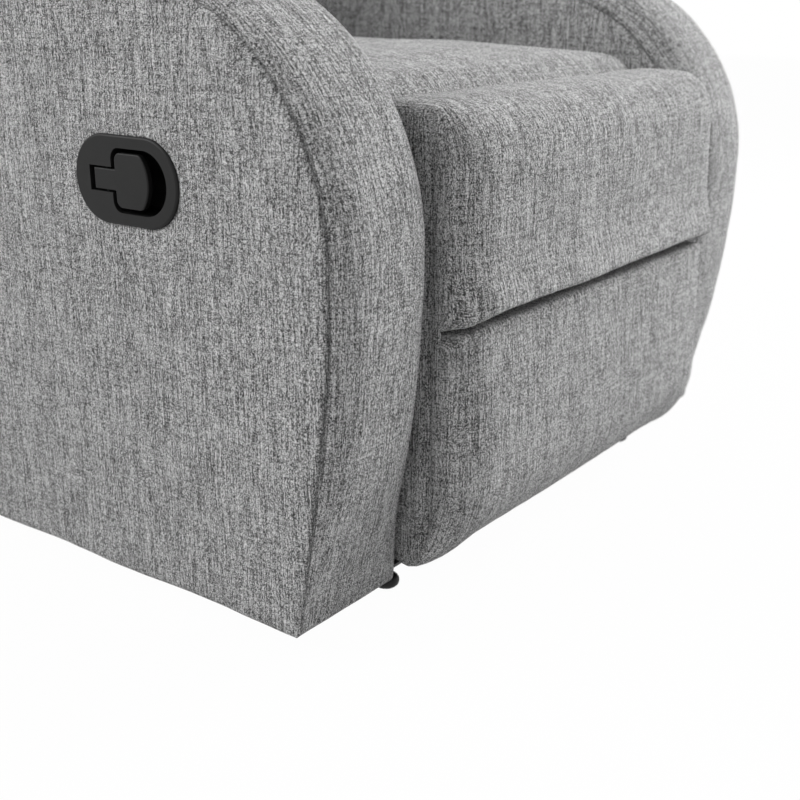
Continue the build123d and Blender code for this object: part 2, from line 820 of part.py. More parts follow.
def seat_cross_rail(depth):
    """Front or rear wooden rail of the seat frame."""
    edge = plate_layer[0] - layer_gap
    section = RectangleRounded(seat_rail_thickness, seat_rail_height, seat_rail_round)
    centre = Pos(depth + seat_rail_thickness / 2, seat_frame_bottom + seat_rail_height / 2)
    return slab(centre * section, -edge, edge)


def seat_side_rail():
    """Side rail of the seat frame, between the cross rails and on the seat plate's flange."""
    edge = plate_layer[0] - layer_gap
    section = RectangleRounded(seat_side_rail_width, seat_rail_height, seat_rail_round)
    start = seat_frame_front + seat_rail_thickness
    length = seat_frame_length - 2 * seat_rail_thickness
    centre = (edge - seat_side_rail_width / 2, front_y + start, seat_frame_bottom + seat_rail_height / 2)
    return extrude(Plane(centre, x_dir=(1, 0, 0), z_dir=(0, -1, 0)) * section, amount=-length)


def seat_spring_path():
    """Zigzag of straight bars and half circles from the front rail to the rear rail, about x = 0."""
    first = front_y + seat_frame_front + seat_rail_thickness / 2
    pitch = (seat_frame_length - seat_rail_thickness) / seat_spring_loops
    half_turn = pitch / 2
    edges = []
    for loop in range(seat_spring_loops):
        y = first + pitch * loop
        way = 1 if loop % 2 else -1
        end = way * seat_spring_reach
        edges.append(Line((-end, y), (end, y)))
        edges.append(ThreePointArc((end, y), (end + way * half_turn, y + half_turn), (end, y + pitch)))
    last = edges[-1] @ 1
    edges.append(Line(last, (-last.X, last.Y)))
    return Pos(0, 0, seat_frame_top + seat_spring_wire) * Wire(edges)


def seat_springs():
    """Row of sinuous springs across the seat."""
    path = seat_spring_path()
    print("seat spring least gap", round(least_gap(path, seat_spring_wire), 2))
    first = -seat_spring_spacing * (seat_spring_count - 1) / 2
    places = [Pos(first + seat_spring_spacing * step, 0, 0) for step in range(seat_spring_count)]
    spring = wire_along(path, seat_spring_wire)
    return group([place * spring for place in places])


def seat_outline(crown):
    """Side section of the seat cushion: rolled front lip, crowned top, rear parallel to the back."""
    lean = tan(radians(back_tilt))
    rear_face = hinge_depth - (back_swell / cos(radians(back_tilt))) - seat_rear_gap
    rear_low = rear_face + (seat_bottom - plate_centre_height) * lean
    top = seat_bottom + seat_thickness
    rear_high = rear_low + seat_thickness * lean
    behind_lip = seat_front + seat_lip_thickness
    roll = seat_nose * sin(radians(45))
    edges = [
        Line((rear_low, seat_bottom), (behind_lip, seat_bottom)),
        Line((behind_lip, seat_bottom), (behind_lip, seat_lip_bottom)),
        Line((behind_lip, seat_lip_bottom), (seat_front, seat_lip_bottom)),
        Line((seat_front, seat_lip_bottom), (seat_front, top - seat_nose)),
        ThreePointArc((seat_front, top - seat_nose),
                      (seat_front + seat_nose - roll, top - seat_nose + roll), (seat_front + seat_nose, top)),
        ThreePointArc((seat_front + seat_nose, top),
                      ((seat_front + seat_nose + rear_high) / 2, top + crown), (rear_high, top)),
        Line((rear_high, top), (rear_low, seat_bottom)),
    ]
    return make_face(edges)


def seat_cushion():
    """Seat cushion with a crown that falls away to its sides."""
    edge = bay_half - seat_side_gap
    stations = [(-edge, seat_crown - seat_side_draw), (0, seat_crown), (edge, seat_crown - seat_side_draw)]
    return loft([side_plane(x) * seat_outline(crown) for x, crown in stations])


# Back, drawn upright about its hinge as (x, rear, up) and then leaned
back_place = Pos(0, front_y + hinge.X, hinge.Y) * Rot(-back_tilt, 0, 0)
post_outer = drive_layer[0] - post_gap
post_inner = post_outer - post_width
cushion_rear = -webbing_thickness - 2 * seat_fit


def back_side_plane(x):
    """Plane at one x for outlines in rear and up, about the hinge."""
    return Plane((x, 0, 0), x_dir=(0, 1, 0), z_dir=(1, 0, 0))


def back_bracket():
    """Hinge bracket: turns on the seat plate and runs up the back post."""
    bend = Vector(bracket_setback, bracket_rise)
    top = Vector(bracket_setback, bracket_length)
    outline = bar([Vector(0, 0), bend, top], bracket_half) - Circle(rivet_radius + running_fit)
    width = drive_layer[1] - drive_layer[0]
    return back_place * extrude(back_side_plane(drive_layer[0]) * outline, amount=width)


def back_post():
    """Upright of the back frame."""
    section = RectangleRounded(post_width, post_thickness, post_round)
    centre = Pos((post_inner + post_outer) / 2, post_thickness / 2, post_low)
    return back_place * centre * extrude(section, amount=post_length)


def back_rail(low):
    """Rail between the two posts."""
    section = RectangleRounded(post_thickness, back_rail_height, post_round)
    centre = Pos(post_thickness / 2, low + back_rail_height / 2)
    return back_place * extrude(back_side_plane(-post_inner) * centre * section, amount=2 * post_inner)


def back_webbing():
    """Elastic straps across the front of the back frame."""
    straps = []
    for step in range(webbing_count):
        low = webbing_first + webbing_pitch * step
        section = Rectangle(webbing_thickness, webbing_height)
        centre = Pos(-seat_fit - webbing_thickness / 2, low + webbing_height / 2)
        strap = extrude(back_side_plane(-post_outer) * centre * section, amount=2 * post_outer)
        straps.append(back_place * strap)
    return group(straps)


def rounded_top(half, low, length, corner, rear_start, rear_end):
    """Upright slab, square below and round at its two top corners."""
    face = Pos(0, low + length / 2) * Rectangle(2 * half, length)
    face = fillet(face.vertices().group_by(Axis.Y)[-1], corner)
    start = Plane((0, rear_start, 0), x_dir=(1, 0, 0), z_dir=(0, -1, 0))
    return extrude(start * face, amount=rear_start - rear_end)


def back_cushion():
    """Back cushion with three puffs, drawn in towards its sides and round at its top corners."""
    lumbar_top = back_cushion_low + back_lumbar_share
    top = back_cushion_low + back_cushion_length
    stations = [back_cushion_low, lumbar_top, lumbar_top + back_middle_share, top]
    rounds = [[radius] * len(stations) for radius in (back_round, back_side_round)]
    middle = puffed_outline(cushion_rear, -back_swell, back_crown, rounds[0], stations)
    side = puffed_outline(cushion_rear, back_side_draw - back_swell, back_crown, rounds[1], stations)
    edge = back_half_width
    pad = loft([back_side_plane(-edge) * side, back_side_plane(0) * middle, back_side_plane(edge) * side])
    margin = back_trim_margin
    trim = rounded_top(edge + margin, back_cushion_low - margin, back_cushion_length + 2 * margin,
                       back_top_corner, cushion_rear + margin, -2 * back_swell)
    return back_place * (pad & trim)


def back_cover():
    """Rear cover: padded panel with side and top walls round the back frame, open below."""
    front = cushion_rear + seat_fit
    shell = rounded_top(back_half_width, cover_low, cover_length, cover_corner, front, cover_rear)
    inner_half = back_half_width - cover_side_wall
    inner_length = cover_length - cover_top_wall
    inner_rear = cover_rear - cover_rear_wall
    inner_corner = cover_corner - cover_side_wall
    hollow = rounded_top(inner_half, cover_low, inner_length, inner_corner, front, inner_rear)
    side_cut = rounded_top(back_half_width, cover_low, cover_side_low, seat_fit, front, inner_rear)
    return back_place * (shell - hollow - side_cut)


# Nodes: one file for each piece
def pairs():
    """Pieces that come as a left and a right one, drawn on +X."""
    return {
        "arm_cover": arm_cover(),
        "base_rail": base_rail(),
        "front_swing_link": swing_link(front_swing_foot, front_swing_head),
        "rear_swing_link": swing_link(rear_swing_foot, rear_swing_head),
        "seat_plate": seat_plate(),
        "seat_side_rail": seat_side_rail(),
        "main_link": main_link(),
        "rear_link": rear_link(),
        "cross_link": cross_link(),
        "front_link": front_link(),
        "footrest_bracket": footrest_bracket(),
        "back_bracket": back_bracket(),
        "back_post": back_post(),
    }


nodes = {}
for name, solid in pairs().items():
    nodes[name + "_left"] = solid
    nodes[name + "_right"] = mirror(solid, about=Plane.YZ)

arm_handle_hole = slab(handle_place * offset(well_outline(), well_wall + bolt_fit),
                       half_width - arm_padding, half_width)
nodes["arm_cover_right"] -= mirror(arm_handle_hole, about=Plane.YZ)
nodes["arm_cover_right"] -= mirror(release_cable(bolt_fit), about=Plane.YZ)
nodes["arm_frame_left"] = arm_frame(False)
nodes["arm_frame_right"] = mirror(arm_frame(True), about=Plane.YZ)

handle_side = {
    "handle_bezel": handle_bezel(),
    "handle_lever": handle_lever(),
    "lever_pin": lever_pin(),
    "lever_spring": lever_spring(),
    "latch_bracket": latch_bracket(),
    "latch_pawl": latch_pawl(),
    "release_cable": release_cable(),
}
for name, solid in handle_side.items():
    nodes[name] = mirror(solid, about=Plane.YZ)

nodes.update({
    "front_feet": feet(front_foot_depth),
    "rear_feet": feet(rear_foot_depth),
    "front_cross_tube": cross_tube(front_tube_depth),
    "rear_cross_tube": cross_tube(rear_tube_depth),
    "arm_bolts": arm_bolts(),
    "rear_panel": rear_panel(),
    "base_rivets": base_rivets(),
    "seat_rivets": seat_rivets(),
    "main_rivets": main_rivets(),
    "rear_rivets": rear_rivets(),
    "footrest_rivets": footrest_rivets(),
    "torque_tube": torque_tube(),
    "opening_springs": both_sides(opening_spring()),
    "footrest_board": footrest_board(),
    "footrest_cushion": footrest_cushion(),
    "seat_front_rail": seat_cross_rail(seat_frame_front),
    "seat_rear_rail": seat_cross_rail(seat_frame_front + seat_frame_length - seat_rail_thickness),
    "seat_springs": seat_springs(),
    "seat_cushion": seat_cushion(),
    "back_bottom_rail": back_rail(post_low),
    "back_middle_rail": back_rail(back_middle_rail),
    "back_top_rail": back_rail(post_low + post_length - back_rail_height),
    "back_webbing": back_webbing(),
    "back_cushion": back_cushion(),
    "back_cover": back_cover(),
})

os.makedirs("parts", exist_ok=True)
for name, solid in nodes.items():
    export_step(solid, f"parts/{name}.step")
print(len(nodes), "nodes")
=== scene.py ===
"""Looks of a recliner armchair: woven cloth, moulded plastic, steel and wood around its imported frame."""

import json
import logging
from collections.abc import Callable
from dataclasses import dataclass, field
from enum import Enum

import bpy
import numpy as np
from mathutils import Matrix, Vector

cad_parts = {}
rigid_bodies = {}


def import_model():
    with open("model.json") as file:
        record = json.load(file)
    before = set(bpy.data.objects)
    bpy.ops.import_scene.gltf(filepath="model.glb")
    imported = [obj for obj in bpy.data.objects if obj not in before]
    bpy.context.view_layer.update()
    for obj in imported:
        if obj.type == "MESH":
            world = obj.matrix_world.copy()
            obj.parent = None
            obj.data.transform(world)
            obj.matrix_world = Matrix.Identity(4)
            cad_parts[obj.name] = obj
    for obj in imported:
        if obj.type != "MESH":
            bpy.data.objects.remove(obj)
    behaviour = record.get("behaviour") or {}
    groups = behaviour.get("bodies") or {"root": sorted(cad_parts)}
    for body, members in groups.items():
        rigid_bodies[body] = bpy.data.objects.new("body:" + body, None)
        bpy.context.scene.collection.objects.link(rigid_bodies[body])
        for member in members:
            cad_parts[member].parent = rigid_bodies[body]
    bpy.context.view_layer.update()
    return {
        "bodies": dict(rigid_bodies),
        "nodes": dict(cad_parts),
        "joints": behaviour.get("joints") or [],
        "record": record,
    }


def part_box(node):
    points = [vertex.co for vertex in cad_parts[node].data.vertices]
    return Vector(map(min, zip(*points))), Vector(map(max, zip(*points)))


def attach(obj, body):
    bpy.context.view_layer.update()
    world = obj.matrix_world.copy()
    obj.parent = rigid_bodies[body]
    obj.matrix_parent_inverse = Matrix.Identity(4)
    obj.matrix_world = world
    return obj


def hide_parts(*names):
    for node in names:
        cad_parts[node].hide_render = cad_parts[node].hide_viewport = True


log = logging.getLogger("recliner")
MM = 0.001
WEAVE_UV = "weave"
SEAM_GAP = "seam_gap"
RIPPLE_WAVES = 9
RIPPLE_SPREAD = (0.6, 1.5)
ROLL_TURN = (0.2, 0.95)
LEAST_ARC = 1e-9

Array = np.ndarray
Pair = tuple[Array, Array]
Triple = tuple[float, float, float]
Piece = bpy.types.Object
Material = bpy.types.Material
Socket = bpy.types.NodeSocket
Stops = list[tuple[float, Triple]]
Uneven = tuple[tuple[float, float, int], ...]

# A swell gives the rise and slide of a strip from outline points and widths, a field one value for each row
Swell = Callable[[Array, Array], Pair]
Field = Callable[[Array], Array]


class Side(Enum):
    """The sitter's left and right, as the sign of their x."""

    LEFT = 1
    RIGHT = -1


# Curves and spacing


def spaced(length: float, step: float, fine: float, growth: float = 1.45) -> Array:
    """Lines from 0 to a length: fine at both ends, growing to an even step between them.

    Args:
        length: The whole length.
        step: The even step in the middle.
        fine: The first and last step.
        growth: How much each step near an end grows over the one before it.

    Returns:
        Rising positions that start at 0 and end at the length.
    """
    count = max(1, int(np.log(step / fine) / np.log(growth)))
    head = np.cumsum(fine * growth ** np.arange(count))
    room = length - 2 * head[-1]
    inner = np.linspace(head[-1], length - head[-1], max(2, int(np.ceil(room / step)) + 1))
    return np.concatenate([[0.0], head[:-1], inner, length - head[-2::-1], [length]])


def merged(lines: Array, marks: Array, gap: float) -> Array:
    """Lattice lines together with marked ones.

    Args:
        lines: Rising positions of the lattice lines.
        marks: Positions of the marked lines.
        gap: How near to a mark an inner lattice line is left out.

    Returns:
        Rising positions of all that stay.
    """
    near = np.abs(lines[:, None] - np.append(marks, np.inf)[None]).min(axis=1) < gap
    near[[0, -1]] = False
    return np.union1d(lines[~near], marks)


def smooth(value: Array, low: float, high: float) -> Array:
    """Smooth step from 0 at low to 1 at high, 3t^2 - 2t^3."""
    t = np.clip((value - low) / (high - low), 0.0, 1.0)
    return t * t * (3.0 - 2.0 * t)


def fading(value: Array, edge: float, reach: float) -> Array:
    """Smooth step from 1 at an edge to 0 at a reach above it."""
    return smooth(-value, -(edge + reach), -edge)


def travelled(points: Array) -> Array:
    """Length along a row of points, from 0 at the first: the sum of the steps between them."""
    return np.insert(np.cumsum(np.linalg.norm(np.diff(points, axis=0), axis=1)), 0, 0.0)


def rolled(distance: Array, reach: Array | float, drop: Array | float) -> Array:
    """How far a padded face has dropped near its edge: a quarter ellipse of that reach and drop.

    Args:
        distance: Distance from the edge.
        reach: Distance at which the roll starts.
        drop: Drop at the edge itself.

    Returns:
        drop (1 - sqrt(1 - (1 - distance / reach)^2)), and 0 past the reach.
    """
    inward = np.clip(1.0 - distance / reach, 0.0, 1.0)
    return drop * (1.0 - np.sqrt(1.0 - inward * inward))


def ripple(points: Array, length: float, seed: int) -> Array:
    """Soft unevenness of padding: a sum of plane sine waves about one wavelength, between about -1 and 1.

    Args:
        points: Points as rows.
        length: Typical wavelength in metres.
        seed: Picks the waves.

    Returns:
        One value for each point.
    """
    dice = np.random.default_rng(seed)
    waves = dice.normal(size=(RIPPLE_WAVES, 3))
    turns = (2 * np.pi / length) * dice.uniform(*RIPPLE_SPREAD, RIPPLE_WAVES)
    waves *= (turns / np.linalg.norm(waves, axis=1))[:, None]
    phases = dice.uniform(0, 2 * np.pi, RIPPLE_WAVES)
    return np.sin(points @ waves.T + phases).sum(axis=1) / (RIPPLE_WAVES / 2)


class Outline:
    """Closed side outline: straight runs joined by tangent arcs, walked clockwise from the lower front.

    A point is its run's start plus a chord: length sinc(turn / 2) along the mean heading. Depth runs
    along +Y and height along +Z.
    """

    def __init__(self, corners: list[Triple]) -> None:
        """Works out the runs: an arc and a straight for each corner.

        Args:
            corners: Depth, height and radius of each corner.
        """
        data = np.array(corners, float)
        spots, radii = data[:, :2], data[:, 2]
        edges = np.roll(spots, -1, axis=0) - spots
        headings = np.arctan2(edges[:, 1], edges[:, 0])
        before = np.roll(headings, 1)
        turns = (headings - before + np.pi) % (2 * np.pi) - np.pi
        cut = radii * np.tan(np.abs(turns) / 2)
        straight = np.linalg.norm(edges, axis=1) - cut - np.roll(cut, -1)
        arcs = radii * np.abs(turns)
        toward = np.stack([np.cos(before), np.sin(before)], axis=1)
        away = np.stack([np.cos(headings), np.sin(headings)], axis=1)
        ends = [spots - toward * cut[:, None], spots + away * cut[:, None]]
        self.lengths = np.stack([arcs, straight], axis=1).ravel()
        self.curvature = np.stack([turns / np.maximum(arcs, LEAST_ARC), np.zeros(len(arcs))], axis=1).ravel()
        self.heading = np.stack([before, headings], axis=1).ravel()
        self.origin = np.stack(ends, axis=1).reshape(-1, 2)
        self.starts = np.concatenate([[0.0], np.cumsum(self.lengths)[:-1]])
        self.total = float(self.lengths.sum())

    def middle(self, corner: int) -> float:
        """Arc length at the middle of a corner's arc."""
        return float(self.starts[2 * corner] + self.lengths[2 * corner] / 2)

    def at(self, along: Array) -> Pair:
        """Points and outward normals at arc lengths.

        Args:
            along: Arc lengths, of any size.

        Returns:
            Two arrays of (depth, height) rows.
        """
        along = np.mod(along, self.total)
        run = np.searchsorted(self.starts, along, side="right") - 1
        length = along - self.starts[run]
        half = self.curvature[run] * length / 2
        chord = (length * np.sinc(half / np.pi))[:, None]
        mean = self.heading[run] + half
        points = self.origin[run] + chord * np.stack([np.cos(mean), np.sin(mean)], axis=1)
        heading = mean + half
        return points, np.stack([-np.sin(heading), np.cos(heading)], axis=1)


def boxed(front: float, rear: float, low: float, high: float, radii: tuple[float, ...]) -> Outline:
    """Outline of a box, with the radii of its corners from the lower front round to the lower rear."""
    spots = ((front, low), (front, high), (rear, high), (rear, low))
    return Outline([(*spot, radius) for spot, radius in zip(spots, radii)])


def even(half: float) -> Field:
    """The same half width at every height."""
    return lambda height: np.full(np.shape(height), half)


def pillow(share: Array, across: Array, power: float = 2.4, side_power: float = 4.0) -> Array:
    """Swell of a pillow: 1 - |2 share - 1|^power up it, times 1 - across^side_power over its half width."""
    return (1 - np.abs(2 * share - 1) ** power) * (1 - np.abs(across) ** side_power)


# Meshes


def quads(sheet: Array, flip: bool) -> Array:
    """Four-sided faces of a grid of vertex numbers, wound the other way if flipped."""
    faces = np.stack([sheet[:-1, :-1], sheet[1:, :-1], sheet[1:, 1:], sheet[:-1, 1:]], axis=-1).reshape(-1, 4)
    return faces[:, ::-1] if flip else faces


def make_object(name: str, points: Array, faces: Array, uvs: Array | None = None,
                seam_gap: Array | None = None) -> Piece:
    """New smooth mesh object from arrays.

    Args:
        name: Name of the piece.
        points: Vertex places as rows.
        faces: Four vertex numbers for each face.
        uvs: Place on the cloth for each corner of each face, or None.
        seam_gap: Distance of each vertex from the nearest seam, or None where there is no seam.

    Returns:
        The object, linked to the scene.
    """
    mesh = bpy.data.meshes.new(name)
    mesh.vertices.add(len(points))
    mesh.vertices.foreach_set("co", points.astype(np.float32).ravel())
    mesh.loops.add(faces.size)
    mesh.loops.foreach_set("vertex_index", faces.astype(np.int32).ravel())
    mesh.polygons.add(len(faces))
    mesh.polygons.foreach_set("loop_start", np.arange(0, faces.size, 4, dtype=np.int32))
    mesh.polygons.foreach_set("use_smooth", np.ones(len(faces), dtype=bool))
    if uvs is not None:
        layer = mesh.uv_layers.new(name=WEAVE_UV)
        layer.data.foreach_set("uv", uvs.astype(np.float32).ravel())
    gaps = mesh.attributes.new(SEAM_GAP, "FLOAT", "POINT")
    far = np.ones(len(points)) if seam_gap is None else seam_gap
    gaps.data.foreach_set("value", far.astype(np.float32).ravel())
    mesh.update(calc_edges=True)
    mesh.validate()
    piece = bpy.data.objects.new(name, mesh)
    bpy.context.scene.collection.objects.link(piece)
    return piece


def read_points(piece: Piece, what: str = "co") -> Array:
    """Vertex places, or another vector of each vertex.

    Args:
        piece: The piece whose mesh is read.
        what: Name of the vector.

    Returns:
        One row for each vertex.
    """
    out = np.empty(len(piece.data.vertices) * 3, np.float32)
    piece.data.vertices.foreach_get(what, out)
    return out.reshape(-1, 3).astype(float)


def write_points(piece: Piece, points: Array) -> None:
    """Puts new vertex places into a piece's mesh."""
    piece.data.vertices.foreach_set("co", points.astype(np.float32).ravel())
    piece.data.update()


def push(piece: Piece, amount: Array) -> None:
    """Moves each vertex along its normal by its own amount."""
    write_points(piece, read_points(piece) + read_points(piece, "normal") * amount[:, None])


@dataclass(frozen=True)
class Edging:
    """How a side panel and the strip beside it roll down into the seam between them."""

    panel_reach: float
    panel_drop: float
    strip_reach: float
    strip_drop: float
    stitch_reach: float = 3.0 * MM
    stitch_drop: float = 1.6 * MM

    def stitch(self, distance: Array) -> Array:
        """Narrow dip where the stitches pull both sides into the seam."""
        return rolled(distance, self.stitch_reach, self.stitch_drop)

    def panel_roll(self, distance: Array) -> Array:
        """Drop of the panel at a distance from the seam."""
        return rolled(distance, self.panel_reach, self.panel_drop) + self.stitch(distance)

    def strip_roll(self, distance: Array) -> Array:
        """Drop of the strip at a distance from the seam."""
        return rolled(distance, self.strip_reach, self.strip_drop) + self.stitch(distance)


@dataclass(frozen=True)
class Crease:
    """Sewn crease across a padded face: the pillow above hangs its lip over a dark slot on the one below.

    Its section runs up the lower pillow's face, round its edge and in along its top to the seam, then back
    out along the upper pillow's underside and round its lip. Each point of the plain face within reach goes
    to the point at the same share of the section's length, so that depth and height follow one curve. The
    slot then opens: the upper half rises by slot, and stands out by overhang, times a weight that is 0 at the
    seam, 1 at the lip and 0 again at the end of its reach. Towards the sides the whole crease sinks by up to
    droop.
    """

    height: float
    depth: float = 40 * MM
    slot: float = 13 * MM
    overhang: float = 13 * MM
    edge_round: float = 4.5 * MM
    lip_round: float = 7 * MM
    reach_up: float = 70 * MM
    reach_down: float = 34 * MM
    end: float = 0.0
    fade: float = 12 * MM
    slot_fade: float = 50 * MM
    droop: float = 0.0
    droop_reach: float = 42 * MM
    line_step: float = 1.0 * MM
    turn_steps: int = 40

    def half(self, corner: float, reach: float) -> Array:
        """Section on one side of the seam: along the slot, round a quarter circle and on along the face.

        Args:
            corner: Radius of the quarter circle.
            reach: Where the section ends, away from the seam.

        Returns:
            Rows of (inward, away from the seam), from the seam outwards.
        """
        turn = np.linspace(0, np.pi / 2, self.turn_steps)
        arc = corner * np.stack([1 - np.sin(turn), 1 - np.cos(turn)], axis=1)
        return np.concatenate([[[self.depth, 0.0]], arc, [[0.0, reach]]])

    def fold(self, height: Array) -> tuple[Array, Array, Array]:
        """Where points of the plain face go, by their height.

        Args:
            height: Heights on the plain face.

        Returns:
            Inward depth, upward slide, and the share of the lip's own move.
        """
        gap = height - self.height
        inward, slide, lifted = np.zeros((3, len(gap)))
        halves = ((-1, self.edge_round, self.reach_down), (1, self.lip_round, self.reach_up))
        for sign, corner, reach in halves:
            mine = (gap * sign >= 0) & (gap * sign < reach)
            line = self.half(corner, reach)
            length = travelled(line)
            spot = np.abs(gap[mine]) / reach * length[-1]
            inward[mine] = np.interp(spot, length, line[:, 0])
            slide[mine] = sign * np.interp(spot, length, line[:, 1]) - gap[mine]
            if sign > 0:
                lip = self.depth - self.lip_round
                lifted[mine] = np.minimum(spot / lip, 1 - smooth(spot, lip, length[-1]))
        return inward, slide, lifted

    def marks(self) -> Array:
        """Heights of the lattice lines that the section needs."""
        return self.height + np.arange(-self.reach_down, self.reach_up, self.line_step)

    def across(self, side_gap: Array, fade: float) -> Array:
        """How much of the crease is left at a distance from the side: a quarter circle along the fade."""
        return np.sqrt(1 - (1 - np.clip((side_gap - self.end) / fade, 0.0, 1.0)) ** 2)

    def move(self, height: Array, side_gap: Array) -> Pair:
        """Inward and upward move of face points.

        Args:
            height: Heights of the face's lines.
            side_gap: Distance from the nearest side, with those lines as its last axis.

        Returns:
            Two arrays of the shape of side_gap.
        """
        inward, slide, lifted = self.fold(height)
        share = self.across(side_gap, self.fade)
        lip = lifted * self.across(side_gap, self.slot_fade)
        near = 1 - smooth(np.abs(height - self.height), 0.0, self.reach_up)
        sunk = self.droop * near * (1 - np.clip(side_gap / self.droop_reach, 0.0, 1.0)) ** 2
        return inward * share - lip * self.overhang, slide * share + lip * self.slot - sunk


def flat_swell(points: Array, x: Array) -> Pair:
    """No swelling at all."""
    return np.zeros(x.shape), np.zeros(x.shape)


def everywhere(normals: Array) -> Array:
    """The full roll whichever way the strip faces."""
    return np.ones(len(normals))


def front_roll(normals: Array) -> Array:
    """The full roll where the strip faces forwards, fading to none on the top, the rear and the bottom."""
    return smooth(-normals[:, 0], *ROLL_TURN)


def rear_roll(normals: Array) -> Array:
    """The full roll where the strip faces backwards, fading to none elsewhere."""
    return smooth(normals[:, 0], *ROLL_TURN)


@dataclass
class PaddedSlab:
    """Padded shape between two side panels, with a strip sewn round their outline.

    The strip at arc length s and width x is outline(s) + normal(s) (rise(s, x) - roll(x)) + tangent(s)
    slide(s, x); each side panel is the Coons patch of its own boundary, moved inwards by the roll of its
    distance to the seam.
    """

    outline: Outline
    half_width: Field
    outer: Edging
    inner: Edging
    swell: Swell = flat_swell
    roll_share: Field = everywhere
    corners: tuple[int, int, int, int] = (0, 1, 2, 3)
    x_step: float = 9 * MM
    step: float = 8 * MM
    fine: float = 0.5 * MM
    mark_gap: float = 1.0 * MM
    hem: float = 0.0
    hem_fade: float = 0.15
    depth_marks: Array = field(default_factory=lambda: np.zeros(0))
    height_marks: Array = field(default_factory=lambda: np.zeros(0))
    outer_dent: Field | None = None
    inner_dent: Field | None = None
    sewn: bool = True
    batch: int = 120
    survey: int = 999
    a_share: Array = field(init=False)
    b_share: Array = field(init=False)
    lowest: float = field(init=False)

    def mark_front(self, heights: Array, start: float) -> None:
        """Adds lattice lines at heights on the straight front, which starts at a height of its own."""
        self.height_marks = self.outline.starts[1] - self.outline.middle(0) + heights - start

    def edging(self, outward: bool) -> Edging:
        """The rolls on the outer or the inner side."""
        return self.outer if outward else self.inner

    def hem_height(self, points: Array) -> Array:
        """Height above the outline's lowest point."""
        return points[..., 1] - self.lowest

    def panel_drop(self, points: Array, side: Edging) -> Array:
        """How far in from the panel's face the seam lies, which grows to the hem's round at the bottom.

        Args:
            points: Rows of (depth, height) along the seam.
            side: The rolls on that side.

        Returns:
            One distance for each point.
        """
        drop = np.full(points.shape[0], side.panel_drop + side.stitch_drop)
        if self.hem:
            drop = np.maximum(drop, rolled(self.hem_height(points), self.hem, self.hem))
        return drop

    def ring(self, along: Array, lines: Array) -> Array:
        """Points of the strip, by the formula of the class.

        Args:
            along: Arc lengths.
            lines: Width lines from -1 at the inner seam to 1 at the outer one.

        Returns:
            An array of the shape (width, along, xyz).
        """
        points, normals = self.outline.at(along)
        tangents = np.stack([normals[:, 1], -normals[:, 0]], axis=1)
        share = self.roll_share(normals)
        if self.hem:
            share = share * smooth(self.hem_height(points), 0.0, self.hem_fade)
        half = self.half_width(points[:, 1])
        wide, high, slid = [], [], []
        for outward in (False, True):
            side = self.edging(outward)
            mine = lines[lines >= 0] if outward else lines[lines < 0]
            edge = half - self.panel_drop(points, side)
            x = mine[:, None] * edge[None, :]
            rise, slide = self.swell(points, x)
            wide.append(x)
            high.append(rise - share * side.strip_roll((1.0 - np.abs(mine))[:, None] * edge[None, :]))
            slid.append(slide)
        flat = points[None] + normals[None] * np.concatenate(high)[..., None]
        flat = flat + tangents[None] * np.concatenate(slid)[..., None]
        return np.concatenate([np.concatenate(wide)[..., None], flat], axis=2)

    def seam_distance(self, points: Array, edge: Array) -> Array:
        """Distance of panel points from their sewn boundary, by the nearest of its points.

        Args:
            points: Rows of (depth, height) on the panel.
            edge: Such rows along the boundary.

        Returns:
            One distance for each point.
        """
        best = np.full(len(points), np.inf)
        for part in np.array_split(edge, max(1, len(edge) // self.batch)):
            gap = np.linalg.norm(points[:, None] - part[None], axis=2)
            best = np.minimum(best, gap.min(axis=1))
        return best

    def panel(self, rim: Array, outward: bool) -> tuple[Array, Array, Array]:
        """Side panel inside its boundary: the Coons patch in depth and height, rolled in near the seam.

        Args:
            rim: Sheet of which only the boundary is set.
            outward: Whether this is the outer panel.

        Returns:
            The whole sheet, its places on the cloth, and its distances from the seam.
        """
        sheet = rim[..., 1:].copy()
        a, b = self.a_share[:, None, None], self.b_share[None, :, None]
        front, rear, low, high = sheet[:1], sheet[-1:], sheet[:, :1], sheet[:, -1:]
        corners = ((1 - a) * (1 - b) * sheet[0, 0] + a * (1 - b) * sheet[-1, 0]
                   + (1 - a) * b * sheet[0, -1] + a * b * sheet[-1, -1])
        flat = (1 - a) * front + a * rear + (1 - b) * low + b * high - corners
        side = self.edging(outward)
        seam = [sheet[0], sheet[:, -1], sheet[-1]] + ([] if self.hem else [sheet[:, 0]])
        gap = self.seam_distance(flat.reshape(-1, 2), np.concatenate(seam)).reshape(flat.shape[:2])
        inset = side.panel_roll(gap)
        if self.hem:
            inset = np.maximum(inset, rolled(self.hem_height(flat), self.hem, self.hem))
        x = self.half_width(flat[..., 1].ravel()).reshape(flat.shape[:2]) - inset
        cloth = self.panel_cloth(np.concatenate([x[..., None], flat], axis=2))
        dent = self.outer_dent if outward else self.inner_dent
        if dent:
            x = x + dent(flat)
        whole = np.concatenate([(x if outward else -x)[..., None], flat], axis=2)
        whole[0], whole[-1], whole[:, 0], whole[:, -1] = rim[0], rim[-1], rim[:, 0], rim[:, -1]
        return whole, cloth, gap

    def panel_cloth(self, sheet: Array) -> Array:
        """Place of each panel point on the cloth: depth and height, plus the length that the rolls add.

        Args:
            sheet: The panel's points, as (depth, height, xyz).

        Returns:
            Their two cloth coordinates in metres, as the last axis.
        """
        cloth = []
        for axis in (0, 1):
            step = np.diff(sheet, axis=axis)
            added = np.linalg.norm(step, axis=2) - np.linalg.norm(step[..., 1:], axis=2)
            run = np.insert(np.cumsum(added, axis=axis), 0, 0.0, axis=axis)
            cloth.append(sheet[..., 1 + axis] + run - np.take(run, [run.shape[axis] // 2], axis=axis))
        return np.stack(cloth, axis=2)

